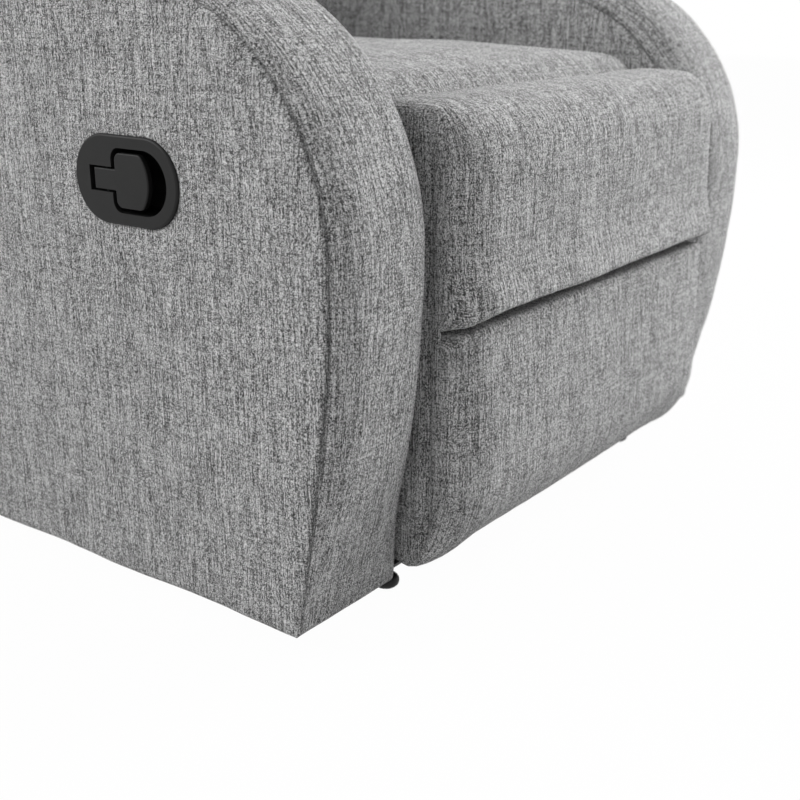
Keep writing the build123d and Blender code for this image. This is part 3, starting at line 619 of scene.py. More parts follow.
    def strip_cloth(self, sheet: Array, start: float) -> Array:
        """Place of each strip point on the cloth: typical length across it, and length along its middle.

        Args:
            sheet: The strip's points, as (width, along, xyz).
            start: Length along the cloth where the strip starts.

        Returns:
            Their two cloth coordinates in metres, as the last axis.
        """
        middle = sheet.shape[0] // 2
        across = np.median(np.linalg.norm(np.diff(sheet, axis=0), axis=2), axis=1)
        across = np.insert(np.cumsum(across), 0, 0.0)
        along = start + travelled(sheet[middle])
        return np.stack(np.broadcast_arrays((across - across[middle])[:, None], along[None]), axis=2)

    def build(self, name: str, place: Matrix, mirrored: bool) -> Piece:
        """Makes the closed mesh with its cloth coordinates.

        Args:
            name: Name of the piece.
            place: Puts the slab's own frame into the chair's.
            mirrored: Whether the place turns the shape inside out.

        Returns:
            The new piece, with its place in its mesh.
        """
        c0, c1, c2, c3 = (self.outline.middle(corner) for corner in self.corners)
        round_end = c0 + self.outline.total
        depth = merged(spaced(c2 - c1, self.step, self.fine), self.depth_marks, self.mark_gap)
        height = merged(spaced(c1 - c0, self.step, self.fine), self.height_marks, self.mark_gap)
        width = 2 * float(self.half_width(np.zeros(1))[0])
        lines = 2 * spaced(width, self.x_step, self.fine) / width - 1
        self.a_share, self.b_share = depth / depth[-1], height / height[-1]
        round_trip = np.linspace(0, self.outline.total, self.survey)
        self.lowest = float(self.outline.at(round_trip)[0][:, 1].min())
        walks = {
            "front": c0 + self.b_share * (c1 - c0),
            "top": c1 + self.a_share * (c2 - c1),
            "rear": c3 + self.b_share * (c2 - c3),
            "bottom": round_end + self.a_share * (c3 - round_end),
        }
        grid = np.zeros((len(lines), len(depth), len(height), 3))
        grid[:, 0], grid[:, -1] = self.ring(walks["front"], lines), self.ring(walks["rear"], lines)
        grid[:, :, -1], grid[:, :, 0] = self.ring(walks["top"], lines), self.ring(walks["bottom"], lines)
        gaps = np.broadcast_to(((1 - np.abs(lines)) * width / 2)[:, None, None], grid.shape[:3]).copy()
        grid[0], inner_cloth, gaps[0] = self.panel(grid[0], False)
        grid[-1], outer_cloth, gaps[-1] = self.panel(grid[-1], True)
        shell = np.ones(grid.shape[:3], bool)
        shell[1:-1, 1:-1, 1:-1] = False
        number = np.full(grid.shape[:3], -1)
        number[shell] = np.arange(int(shell.sum()))
        sides = [
            (number[0], inner_cloth, True), (number[-1], outer_cloth, False),
            (number[:, 0], self.strip_cloth(grid[:, 0], c0), False),
            (number[:, -1], self.strip_cloth(grid[:, -1], c0), True),
            (number[:, :, -1], self.strip_cloth(grid[:, :, -1], c1), False),
            (number[:, :, 0], self.strip_cloth(grid[:, :, 0], c3), True),
        ]
        faces = np.concatenate([quads(sheet, flip != mirrored) for sheet, _, flip in sides])
        patches = []
        for sheet, uv, flip in sides:
            corner = quads(np.arange(sheet.size).reshape(sheet.shape), flip != mirrored)
            patches.append(uv.reshape(-1, 2)[corner])
        matrix = np.array(place)
        points = grid[shell] @ matrix[:3, :3].T + matrix[:3, 3]
        seam_gap = gaps[shell] if self.sewn else None
        return make_object(name, points, faces, np.concatenate(patches).reshape(-1, 2), seam_gap)


@dataclass(frozen=True)
class Stuffing:
    """Padding that swells a cover: a cloth simulation under inner pressure, with its seams held.

    A vertex whose simulated move is d along its normal goes limit tanh(d / limit) that way, after these moves
    have been averaged along the mesh's edges, times how free it is.
    """

    pressure: float = 1.5
    slack: float = 0.006
    stiffness: float = 12.0
    bending: float = 0.6
    quality: int = 4
    frames: int = 12
    limit: float = 9 * MM
    shades: int = 20
    rounds: int = 60

    def hold(self, piece: Piece, free: Array) -> str:
        """Vertex group that holds the cover, in a few shades of strength from 0 to 1.

        Args:
            piece: The cover.
            free: How free each vertex is to move, 0 to 1.

        Returns:
            The group's name.
        """
        group = piece.vertex_groups.new(name="held")
        shade = np.round((1 - free) * self.shades).astype(int)
        for level in range(1, self.shades + 1):
            group.add(np.flatnonzero(shade == level).tolist(), level / self.shades, "REPLACE")
        return group.name

    def calmed(self, piece: Piece, rise: Array) -> Array:
        """Rises averaged along the mesh's edges: each round takes half from the mean of the neighbours.

        Args:
            piece: The cover.
            rise: Rise of each vertex.

        Returns:
            The averaged rises.
        """
        edges = np.empty(2 * len(piece.data.edges), np.int32)
        piece.data.edges.foreach_get("vertices", edges)
        a, b = edges.reshape(-1, 2).T
        count = np.bincount(edges, minlength=len(rise))
        for _ in range(self.rounds):
            total = np.bincount(a, rise[b], len(rise)) + np.bincount(b, rise[a], len(rise))
            rise = (rise + total / count) / 2
        return rise

    def settle(self, piece: Piece, free: Array) -> None:
        """Runs the simulation and puts its result into the mesh.

        Args:
            piece: The cover.
            free: How free each vertex is to move, 0 to 1.
        """
        modifier = piece.modifiers.new("swelling", "CLOTH")
        cloth = modifier.settings
        cloth.vertex_group_mass = self.hold(piece, free)
        cloth.quality = self.quality
        cloth.tension_stiffness = cloth.compression_stiffness = self.stiffness
        cloth.bending_stiffness = self.bending
        cloth.shrink_min = -self.slack
        cloth.effector_weights.gravity = 0.0
        cloth.use_pressure = True
        cloth.uniform_pressure_force = self.pressure
        modifier.collision_settings.use_collision = False
        modifier.point_cache.frame_start, modifier.point_cache.frame_end = 1, self.frames
        for frame in range(1, self.frames + 1):
            bpy.context.scene.frame_set(frame)
        swollen = read_points(piece.evaluated_get(bpy.context.evaluated_depsgraph_get()))
        piece.modifiers.remove(modifier)
        piece.vertex_groups.clear()
        bpy.context.scene.frame_set(1)
        rise = np.sum((swollen - read_points(piece)) * read_points(piece, "normal"), axis=1)
        rise = free * self.calmed(piece, self.limit * np.tanh(rise / self.limit))
        push(piece, rise)
        log.info("%s: swollen by up to %.1f mm", piece.name, rise.max() / MM)


# Finishes


class Nodes:
    """A node tree, with short calls to add and join its nodes."""

    def __init__(self, tree: bpy.types.NodeTree) -> None:
        """Starts with the tree's own nodes."""
        self.tree = tree
        self.nodes = tree.nodes

    def join(self, source: Socket, target: Socket) -> None:
        """Links two sockets."""
        self.tree.links.new(source, target)

    def add(self, kind: str, inputs: dict[str | int, object] | None = None, **settings: object
            ) -> bpy.types.Node:
        """New node.

        Args:
            kind: Its type, without the word ShaderNode.
            inputs: Values or sockets by the name or number of the input that they go into.
            settings: The node's own settings.

        Returns:
            The node.
        """
        node = self.nodes.new(f"ShaderNode{kind}")
        for key, value in settings.items():
            setattr(node, key, value)
        for key, value in (inputs or {}).items():
            if isinstance(value, Socket):
                self.join(value, node.inputs[key])
            else:
                node.inputs[key].default_value = value
        return node

    def math(self, operation: str, *values: object) -> Socket:
        """Result of one arithmetic node."""
        return self.add("Math", dict(enumerate(values)), operation=operation).outputs[0]

    def seen(self) -> Socket:
        """Tells what is looked at from what only gives light, by the larger of three kinds of ray.

        Returns:
            1 on rays from the camera, a reflection or a refraction, and 0 on all others.
        """
        rays = self.add("LightPath").outputs
        seen = self.math("MAXIMUM", rays["Is Camera Ray"], rays["Is Glossy Ray"])
        return self.math("MAXIMUM", seen, rays["Is Transmission Ray"])


class Shader(Nodes):
    """A material's node tree, with what the finishes share."""

    def __init__(self, name: str) -> None:
        """Starts a material with one Principled shader.

        Args:
            name: The material's name.
        """
        self.material = bpy.data.materials.new(name)
        self.material.use_nodes = True
        super().__init__(self.material.node_tree)
        self.principled = self.nodes["Principled BSDF"]

    def object_place(self) -> Socket:
        """Object coordinates, which are metres in the chair's frame."""
        return self.add("TexCoord").outputs["Object"]

    def stretched(self, vector: Socket, scale: Triple) -> Socket:
        """Coordinates scaled by their own amount along each axis."""
        return self.add("Mapping", {"Vector": vector, "Scale": scale}).outputs[0]

    def noise(self, vector: Socket, scale: float = 1.0, detail: float = 2.0) -> Socket:
        """Value of a noise texture."""
        return self.add("TexNoise", {"Vector": vector, "Scale": scale, "Detail": detail}).outputs[0]

    def mixed(self, first: Socket, second: Socket, share: float) -> Socket:
        """The first value times its share, plus the second times the rest."""
        return self.math("ADD", self.math("MULTIPLY", first, share), self.math("MULTIPLY", second, 1 - share))

    def ramp(self, value: Socket, stops: Stops) -> Socket:
        """Colour picked by a value.

        Args:
            value: What picks the colour.
            stops: The colours, each with the value that it stands at.

        Returns:
            The colour's socket.
        """
        node = self.add("ValToRGB", {"Fac": value})
        marks = node.color_ramp.elements
        while len(marks) < len(stops):
            marks.new(stops[1][0])
        for mark, (place, colour) in zip(marks, stops):
            mark.position = place
            mark.color = (*colour, 1.0)
        return node.outputs[0]

    def gloss(self, value: Socket, limits: tuple[float, float]) -> None:
        """Lets a value drive the roughness between two limits."""
        rough = self.add("MapRange", {"Value": value, "To Min": limits[0], "To Max": limits[1]}).outputs[0]
        self.join(rough, self.principled.inputs["Roughness"])

    def bump(self, height: Socket, strength: float, distance: float) -> None:
        """Bumps the surface by a height."""
        node = self.add("Bump", {"Height": height, "Strength": strength, "Distance": distance})
        self.join(node.outputs[0], self.principled.inputs["Normal"])

    def finish(self, base: Socket, **constants: float) -> Material:
        """Completes the material.

        Args:
            base: The base colour.
            constants: Plain values of the Principled shader, by the names of its inputs with underscores.

        Returns:
            The material.
        """
        self.join(base, self.principled.inputs["Base Color"])
        for key, value in constants.items():
            label = key.replace("_", " ").title().replace("Ior", "IOR")
            self.principled.inputs[label].default_value = value
        return self.material


def greys(*stops: tuple[float, float]) -> Stops:
    """Stops of a ramp in neutral colours, from pairs of a place and a brightness."""
    return [(place, (tone, tone, tone)) for place, tone in stops]


@dataclass(frozen=True)
class WovenCloth:
    """Plain weave of flecked grey yarn: dashes of lighter and darker thread, upright slubs, soft bump, and
    painted shade that darkens the cloth next to its seams.

    The weights are those of the flecks, the slubs up and across, the streaks and the clouds.
    """

    name: str = "grey_woven_cloth"
    pitch: float = 0.74 * MM
    warp_dash: float = 2.4
    weft_dash: float = 1.2
    slub_dash: float = 36.0
    dash_shift: float = 37.0
    streaks: Triple = (420.0, 45.0, 1.0)
    clouds: Triple = (40.0, 16.0, 1.0)
    weights: tuple[float, ...] = (1.0, 0.42, 0.18, 0.32, 0.08)
    # Painted shade along the seams: within this reach of a seam the cloth's colour is darkened, down to this
    # share, in place of the seam's own shadow
    painted_seam_reach: float = 1.2 * MM
    painted_seam_shade: float = 0.70
    tones: tuple[tuple[float, float], ...] = ((0.1, 0.022), (0.5, 0.215), (0.9, 0.70))
    bump: float = 0.5
    bump_depth: float = 0.35 * MM
    roughness: float = 0.92
    sheen: float = 0.08
    sheen_roughness: float = 0.5
    specular: float = 0.15

    def thread(self, shader: Shader, across: Socket, along: Socket, dash: float) -> Socket:
        """Random grey of the dash that a place lies on, along one set of threads.

        Args:
            shader: The material's nodes.
            across: Place across the threads, counted in threads.
            along: Place along them, counted in threads.
            dash: Length of a dash, counted in threads.

        Returns:
            White noise of the thread's number and the dash's, whose start is shifted from thread to thread.
        """
        number = shader.math("FLOOR", across)
        shift = shader.add("TexWhiteNoise", {"W": number}, noise_dimensions="1D").outputs["Value"]
        step = shader.math("FLOOR", shader.math("ADD", shader.math("DIVIDE", along, dash),
                                                shader.math("MULTIPLY", shift, self.dash_shift)))
        spot = shader.add("CombineXYZ", {"X": number, "Y": step}).outputs[0]
        return shader.add("TexWhiteNoise", {"Vector": spot}, noise_dimensions="2D").outputs["Value"]

    def weighed(self, shader: Shader, *patterns: Socket) -> Socket:
        """One half plus each pattern's distance from one half, times its weight.

        Args:
            shader: The material's nodes.
            patterns: The patterns, in the order of their weights.

        Returns:
            The sum's socket.
        """
        total = 0.5 - sum(self.weights) / 2
        for pattern, weight in zip(patterns, self.weights):
            total = shader.math("MULTIPLY_ADD", pattern, weight, total)
        return total

    def either(self, shader: Shader, warp: Socket, weft: Socket, over: Socket) -> Socket:
        """The warp's value where it lies over the weft, and the weft's where it doesn't."""
        under = shader.math("SUBTRACT", 1.0, over)
        return shader.math("MULTIPLY_ADD", warp, over, shader.math("MULTIPLY", weft, under))

    def build(self) -> Material:
        """Makes the nodes.

        Returns:
            The material.
        """
        shader = Shader(self.name)
        cloth = shader.add("UVMap", uv_map=WEAVE_UV).outputs[0]
        counted = shader.stretched(cloth, (1 / self.pitch, 1 / self.pitch, 1.0))
        parts = shader.add("SeparateXYZ", {0: counted})
        u, v = parts.outputs["X"], parts.outputs["Y"]
        crossing = shader.math("ADD", shader.math("FLOOR", u), shader.math("FLOOR", v))
        over = shader.math("PINGPONG", crossing, 1.0)
        fleck = self.either(shader, self.thread(shader, u, v, self.warp_dash),
                            self.thread(shader, v, u, self.weft_dash), over)
        tone = self.weighed(shader, fleck, self.thread(shader, u, v, self.slub_dash),
                            self.thread(shader, v, u, self.slub_dash),
                            shader.noise(shader.stretched(cloth, self.streaks)),
                            shader.noise(shader.stretched(cloth, self.clouds)))
        # Painted shade: the colour darkens where the seam_gap attribute is small, standing in for the shadow
        # that gathers in each seam
        seam_gap = shader.add("Attribute", attribute_name=SEAM_GAP).outputs["Fac"]
        reach = {"Value": seam_gap, "From Max": self.painted_seam_reach, "To Min": self.painted_seam_shade}
        seam = shader.add("MapRange", reach, interpolation_type="SMOOTHSTEP").outputs[0]
        colour = shader.ramp(shader.math("MULTIPLY", tone, seam), greys(*self.tones))
        round_u, round_v = (shader.math("ABSOLUTE", shader.math("SINE", shader.math("MULTIPLY", way, np.pi)))
                            for way in (u, v))
        knit = self.either(shader, round_u, round_v, over)
        shader.bump(shader.math("ADD", knit, fleck), self.bump, self.bump_depth)
        return shader.finish(colour, roughness=self.roughness, sheen_weight=self.sheen,
                             sheen_roughness=self.sheen_roughness, specular_ior_level=self.specular)


@dataclass(frozen=True)
class GrainedFinish:
    """Plastic, paint, plated metal or wood: colour by a cloud and a grain, uneven gloss, bumped grain."""

    name: str
    grain: Triple
    grain_detail: float
    cloud: Triple
    cloud_detail: float
    colours: Stops
    rough: tuple[float, float]
    bump: float
    bump_depth: float
    grain_share: float = 0.0
    clouded_gloss: bool = False
    metallic: float = 0.0
    specular: float = 0.5

    def build(self) -> Material:
        """Makes the nodes.

        Returns:
            The material.
        """
        shader = Shader(self.name)
        place = shader.object_place()
        grain = shader.noise(shader.stretched(place, self.grain), detail=self.grain_detail)
        cloud = shader.noise(shader.stretched(place, self.cloud), detail=self.cloud_detail)
        shader.gloss(cloud if self.clouded_gloss else grain, self.rough)
        shader.bump(grain, self.bump, self.bump_depth)
        colour = shader.ramp(shader.mixed(grain, cloud, self.grain_share), self.colours)
        return shader.finish(colour, metallic=self.metallic, specular_ior_level=self.specular)


@dataclass(frozen=True)
class ElasticWebbing:
    """Black elastic webbing, ribbed and flecked."""

    name: str = "elastic_webbing"
    ribs: float = 260.0
    distortion: float = 0.4
    fleck: float = 900.0
    rib_share: float = 0.5
    tones: tuple[tuple[float, float], ...] = ((0.3, 0.012), (0.75, 0.06))
    bump: float = 0.5
    bump_depth: float = 0.4 * MM
    roughness: float = 0.85

    def build(self) -> Material:
        """Makes the nodes.

        Returns:
            The material.
        """
        shader = Shader(self.name)
        place = shader.object_place()
        wave = {"Vector": place, "Scale": self.ribs, "Distortion": self.distortion}
        ribs = shader.add("TexWave", wave).outputs["Fac"]
        tone = shader.mixed(ribs, shader.noise(place, self.fleck), self.rib_share)
        shader.bump(ribs, self.bump, self.bump_depth)
        return shader.finish(shader.ramp(tone, greys(*self.tones)), roughness=self.roughness)


def wood(name: str, stretch: Triple, dark: Triple, pale: Triple) -> GrainedFinish:
    """Wood whose grain is drawn out along an axis, with fibres six times finer along with it.

    Args:
        name: The material's name.
        stretch: Scale of the grain along each axis.
        dark: Colour of the late wood.
        pale: Colour of the early wood.

    Returns:
        The finish, not built yet.
    """
    return GrainedFinish(
        name=name, grain=tuple(6 * scale for scale in stretch), grain_detail=2.0, cloud=stretch,
        cloud_detail=5.0, colours=[(0.32, dark), (0.62, pale)], rough=(0.65, 0.65), bump=0.25,
        bump_depth=0.3 * MM, grain_share=0.25)


def finishes() -> dict[str, Material]:
    """Builds every finish.

    Returns:
        The materials by the record's material slots.
    """
    makers = {
        "grey_cloth": WovenCloth(),
        "webbing": ElasticWebbing(),
        "black_plastic": GrainedFinish(
            name="black_moulded_plastic", grain=(2600.0,) * 3, grain_detail=3.0, cloud=(60.0,) * 3,
            cloud_detail=2.0, colours=greys((0.3, 0.0051), (0.7, 0.0072)), rough=(0.42, 0.6), bump=0.25,
            bump_depth=0.12 * MM, specular=0.25),
        "black_steel": GrainedFinish(
            name="black_powder_coat", grain=(900.0,) * 3, grain_detail=2.0, cloud=(30.0,) * 3,
            cloud_detail=3.0, colours=greys((0.35, 0.018), (0.7, 0.0306)), rough=(0.34, 0.5), bump=0.2,
            bump_depth=0.2 * MM, clouded_gloss=True),
        "zinc_steel": GrainedFinish(
            name="zinc_plated_steel", grain=(3000.0, 300.0, 300.0), grain_detail=2.0, cloud=(160.0,) * 3,
            cloud_detail=3.0, colours=[(0.3, (0.46, 0.47, 0.48)), (0.7, (0.66, 0.66, 0.65))],
            rough=(0.25, 0.45), bump=0.1, bump_depth=0.1 * MM, metallic=1.0),
        "plywood": wood("birch_plywood", stretch=(14.0, 60.0, 700.0), dark=(0.38, 0.24, 0.12),
                        pale=(0.60, 0.43, 0.26)),
        "pine": wood("sawn_pine", stretch=(50.0, 300.0, 300.0), dark=(0.44, 0.28, 0.14),
                     pale=(0.64, 0.47, 0.28)),
    }
    return {slot: maker.build() for slot, maker in makers.items()}


# Sub-assemblies


@dataclass
class Upholstery:
    """What every padded piece shares: its cloth and how it is put on its body."""

    cloth: Material
    held: float = 8 * MM
    loose: float = 45 * MM

    def slack_cloth(self, piece: Piece) -> Array:
        """How free each vertex is, by its distance from the nearest seam.

        Args:
            piece: The cover.

        Returns:
            A value from 0 to 1 for each vertex.
        """
        gap = np.empty(len(piece.data.vertices), np.float32)
        piece.data.attributes[SEAM_GAP].data.foreach_get("value", gap)
        return smooth(gap.astype(float), self.held, self.loose)

    def stuff(self, piece: Piece, limit: float, free: Array) -> None:
        """Swells a cover by up to a limit, where it is free and no seam holds it."""
        Stuffing(limit=limit).settle(piece, self.slack_cloth(piece) * free)

    def dress(self, piece: Piece, body: str, node: str, fill: float, uneven: Uneven = ()) -> None:
        """Gives a padded piece its unevenness, its cloth and its body, and hides the solid that it stands
        for.

        Args:
            piece: The cover.
            body: The body that it rides.
            node: The solid that it replaces.
            fill: How much of the cover its padding fills; not used.
            uneven: Height, wavelength and seed of each ripple along its normals.
        """
        spots = read_points(piece)
        if uneven:
            push(piece, sum(height * ripple(spots, length, seed) for height, length, seed in uneven))
        piece.data.materials.append(self.cloth)
        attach(piece, body)
        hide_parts(node)
        log.info("%s: %d faces on %s", piece.name, len(piece.data.polygons), body)


@dataclass
class Arm(Upholstery):
    """Padded arm: flat side panels, and a crowned strip up the front, over the top and down the rear."""

    side: Side = Side.RIGHT
    lean: float = np.radians(8.3)
    belly_radius: float = 1.015
    nose_radius: float = 0.205
    tail_radius: float = 0.060
    hem_radius: float = 0.011
    hem_sag: float = 5.5 * MM
    hem_wave: float = 0.21
    wave_share: float = 0.18
    sag_height: float = 0.09
    crown: float = 0.018
    flatness: float = 4.0
    tuck: float = 0.160
    outer: Edging = Edging(30 * MM, 4.5 * MM, 9 * MM, 1.2 * MM, 2.4 * MM, 2.6 * MM)
    inner: Edging = Edging(14 * MM, 2 * MM, 34 * MM, 17 * MM, 3 * MM, 0.0)
    bezel_lift: float = 1.6 * MM
    lift_reach: float = 16 * MM
    bezel_margin: float = 2.0 * MM
    pocket_margin: float = 7.0 * MM
    pocket_depth: float = 0.042
    pocket_step: float = 2.4 * MM
    top_stretch: float = 1.08
    depth_margins: tuple[float, float] = (0.05, 0.02)
    height_margins: tuple[float, float] = (0.06, 0.05)
    fill: float = 0.8
    uneven: Uneven = ((0.7 * MM, 0.16, 3), (0.3 * MM, 0.05, 4))

    def nose_start(self, low: Vector, high: Vector) -> float:
        """Depth from the foremost point back to the lower front corner, from the lean and the belly's arc."""
        straight = high.z - self.crown - self.nose_radius - low.z - self.belly_radius * np.sin(self.lean)
        return float(straight * np.tan(self.lean) + self.belly_radius * (1 - np.cos(self.lean)))

    def fit_handle(self, slab: PaddedSlab) -> None:
        """Sinks the outer panel behind the handle's bezel and lifts the cloth that its rim presses into.

        Args:
            slab: The arm's shape, which gets the dent and finer lattice lines round it.
        """
        low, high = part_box("handle_bezel")
        middle = (low + high) / 2
        radius = (high.z - low.z) / 2
        reach = (high.y - low.y) / 2 - radius

        def dent(flat: Array) -> Array:
            """Pocket inside the bezel's oval, and a soft swell round it that fades with distance.

            Args:
                flat: Points of the panel, with depth and height as the last axis.

            Returns:
                Outward move of each point.
            """
            along = np.maximum(np.abs(flat[..., 0] - middle.y) - reach, 0.0)
            outside = np.hypot(along, flat[..., 1] - middle.z) - radius
            pocket = self.pocket_depth * smooth(-outside, self.bezel_margin, self.pocket_margin)
            return self.bezel_lift * np.exp(-((outside / self.lift_reach - 1) ** 2)) - pocket

        slab.outer_dent = dent
        c0, c1, c2, _ = (slab.outline.middle(corner) for corner in slab.corners)
        start = slab.outline.at(np.array([c0]))[0][0, 0]
        near, far = ((edge - start) * self.top_stretch for edge in (low.y, high.y))
        marks = np.arange(near - self.depth_margins[0], far + self.depth_margins[1], self.pocket_step)
        slab.depth_marks = marks[(marks > 0) & (marks < c2 - c1)]
        slab.height_marks = np.arange(low.z - self.height_margins[0], high.z + self.height_margins[1],
                                      self.pocket_step)

    def build(self) -> None:
        """Makes the arm and dresses it."""
        name = f"arm_cover_{self.side.name.lower()}"
        low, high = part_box(name)
        front, rear, top = low.y + self.crown, high.y - self.crown, high.z - self.crown
        foot = front + self.nose_start(low, high)
        outline = Outline([
            (foot, low.z, self.hem_radius),
            (front, low.z + (foot - front) / np.tan(self.lean), self.belly_radius),
            (front, top, self.nose_radius),
            (rear, top, self.tail_radius),
            (rear, low.z, self.hem_radius),
        ])
        half = (high.x - low.x) / 2

        def swell(points: Array, x: Array) -> Pair:
            """Crown of the strip, drawn flat again where it is pulled under the arm."""
            crown = self.crown * smooth(points[:, 1], low.z, low.z + self.tuck)
            return crown * (1 - np.abs(x / half) ** self.flatness), np.zeros(x.shape)

        slab = PaddedSlab(outline, even(half), self.outer, self.inner, swell, corners=(0, 2, 3, 4),
                          hem=self.hem_radius)
        if self.side is Side.RIGHT:
            self.fit_handle(slab)
        place = Matrix.Translation(((low.x + high.x) / 2, 0, 0)) @ Matrix.Diagonal((self.side.value, 1, 1, 1))
        piece = slab.build(name + "_cloth", place, self.side is Side.RIGHT)
        spots = read_points(piece)
        wave = 1 + self.wave_share * np.sin(2 * np.pi * spots[:, 1] / self.hem_wave)
        spots[:, 2] -= self.hem_sag * wave * fading(spots[:, 2], low.z, self.sag_height)
        write_points(piece, spots)
        self.dress(piece, "base", name, self.fill, self.uneven)


@dataclass
class Footrest(Upholstery):
    """Footrest pad of two pillows split by a sewn crease that stops short of the side edges."""

    low_round: float = 0.088
    top_round: float = 0.046
    rear_round: float = 0.006
    edging: Edging = Edging(14 * MM, 0.0, 38 * MM, 26 * MM, 3 * MM, 0.0)
    least_roll: float = 0.3
    crease_share: float = 0.556
    crease_droop: float = 11 * MM
    bow: float = 0.007
    bow_reach: float = 0.05
    corner_dip: float = 8 * MM
    dip_length: float = 60 * MM
    dip_end: float = 6 * MM
    dip_height: float = 0.05
    dip_rear: tuple[float, float] = (0.01, 0.03)
    dart_length: float = 40 * MM
    dart_depth: float = 3.4 * MM
    dart_width: float = 2.0 * MM
    boxing: float = 47 * MM
    boxing_width: float = 2.6 * MM
    boxing_depth: float = 5 * MM
    fill: float = 0.75
    uneven: Uneven = ((0.8 * MM, 0.15, 5), (0.35 * MM, 0.05, 6))

    def roll(self, normals: Array) -> Array:
        """The full roll on the front, and a least share of it everywhere else."""
        return self.least_roll + (1 - self.least_roll) * front_roll(normals)

    def build(self) -> None:
        """Makes the pad and dresses it."""
        low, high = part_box("footrest_cushion")
        front = low.y + self.bow
        outline = boxed(front, high.y, low.z, high.z,
                        (self.low_round, self.top_round, self.rear_round, self.rear_round))
        half = (high.x - low.x) / 2
        edge_inset = self.edging.panel_drop + self.edging.stitch_drop
        crease = Crease(low.z + self.crease_share * (high.z - low.z), droop=self.crease_droop)

        def corner_sag(depth: Array, height: Array, x: Array) -> Array:
            """Dip of the underside at its two ends, none at the rear.

            Args:
                depth: Depths of the outline's points.
                height: Their heights.
                x: Widths, with those points along the last axis.

            Returns:
                Outward move of each point.
            """
            beneath = fading(height, low.z, self.dip_height)
            ahead = smooth(-depth, self.dip_rear[0] - high.y, self.dip_rear[1] - high.y)
            ends = smooth(np.abs(x), half - self.dip_length, half - self.dip_end)
            return self.corner_dip * beneath * ahead * ends

        def swell(points: Array, x: Array) -> Pair:
            """Two bowed pillows, with the crease folded in between them on the front alone.

            Args:
                points: Outline points as rows of depth and height.
                x: Widths, with those points along the last axis.

            Returns:
                Rise and slide of each point.
            """
            depth, height = points.T
            ends = np.where(height < crease.height, low.z, high.z)
            share = (height - ends) / (crease.height - ends)
            rise = self.bow * fading(depth, front, self.bow_reach) * pillow(share, x / half)
            front_only = depth < (low.y + high.y) / 2
            inward, slide = crease.move(height, half - edge_inset - np.abs(x))
            return rise - inward * front_only + corner_sag(depth, height, x), slide * front_only

        def dart(flat: Array) -> Array:
            """Stitched dart in the side panel at the end of the crease, and the boxing's seam behind it.

            Args:
                flat: Points of the panel, with depth and height as the last axis.

            Returns:
                Outward move of each point.
            """
            line = np.exp(-(((flat[..., 1] - crease.height + self.crease_droop) / self.dart_width) ** 2))
            boxing = np.exp(-(((flat[..., 0] - low.y - self.boxing) / self.boxing_width) ** 2))
            dip = self.dart_depth * line * fading(flat[..., 0], front, self.dart_length)
            return -dip - self.boxing_depth * boxing

        slab = PaddedSlab(outline, even(half), self.edging, self.edging, swell, self.roll, outer_dent=dart,
                          inner_dent=dart, sewn=False)
        slab.mark_front(crease.marks(), low.z + self.low_round)
        piece = slab.build("footrest_cloth", Matrix.Identity(4), False)
        self.dress(piece, "footrest", "footrest_cushion", self.fill, self.uneven)


@dataclass
class Seat(Upholstery):
    """Seat cushion with a crowned top that rolls over its front lip."""

    nose: float = 0.036
    foot_round: float = 10 * MM
    rear_round: float = 14 * MM
    under_round: float = 8 * MM
    step_round: float = 3 * MM
    rear_lean: float = 0.018
    lip_depth: float = 0.038
    lip_drop: float = 0.0405
    crown: float = 0.012
    crown_reach: float = 0.03
    crown_power: float = 3.0
    side_power: float = 2.0
    edging: Edging = Edging(12 * MM, 4 * MM, 40 * MM, 14 * MM)
    swelling: float = 7 * MM
    fill: float = 0.7
    uneven: Uneven = ((0.8 * MM, 0.13, 7),)

    def build(self) -> None:
        """Makes the cushion and dresses it."""
        low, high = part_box("seat_cushion")
        top = high.z - self.crown
        under = low.z + self.lip_drop
        lip = low.y + self.lip_depth
        outline = Outline([
            (low.y, low.z, self.foot_round),
            (low.y, top, self.nose),
            (high.y, top, self.rear_round),
            (high.y - self.rear_lean, under, self.under_round),
            (lip, under, self.step_round),
            (lip, low.z, self.under_round),
        ])
        half = (high.x - low.x) / 2

        def swell(points: Array, x: Array) -> Pair:
            """Crown on the top alone, highest in the middle.

            Args:
                points: Outline points as rows of depth and height.
                x: Widths, with those points along the last axis.

            Returns:
                Rise and slide of each point.
            """
            share = (points[:, 0] - low.y) / (high.y - low.y)
            crown = self.crown * smooth(points[:, 1], top - self.crown_reach, top)
            return crown * pillow(share, x / half, self.crown_power, self.side_power), np.zeros(x.shape)

        slab = PaddedSlab(outline, even(half), self.edging, self.edging, swell)
        piece = slab.build("seat_cloth", Matrix.Identity(4), False)
        self.stuff(piece, self.swelling, smooth(read_points(piece)[:, 2], top - self.nose, top))
        self.dress(piece, "seat", "seat_cushion", self.fill, self.uneven)


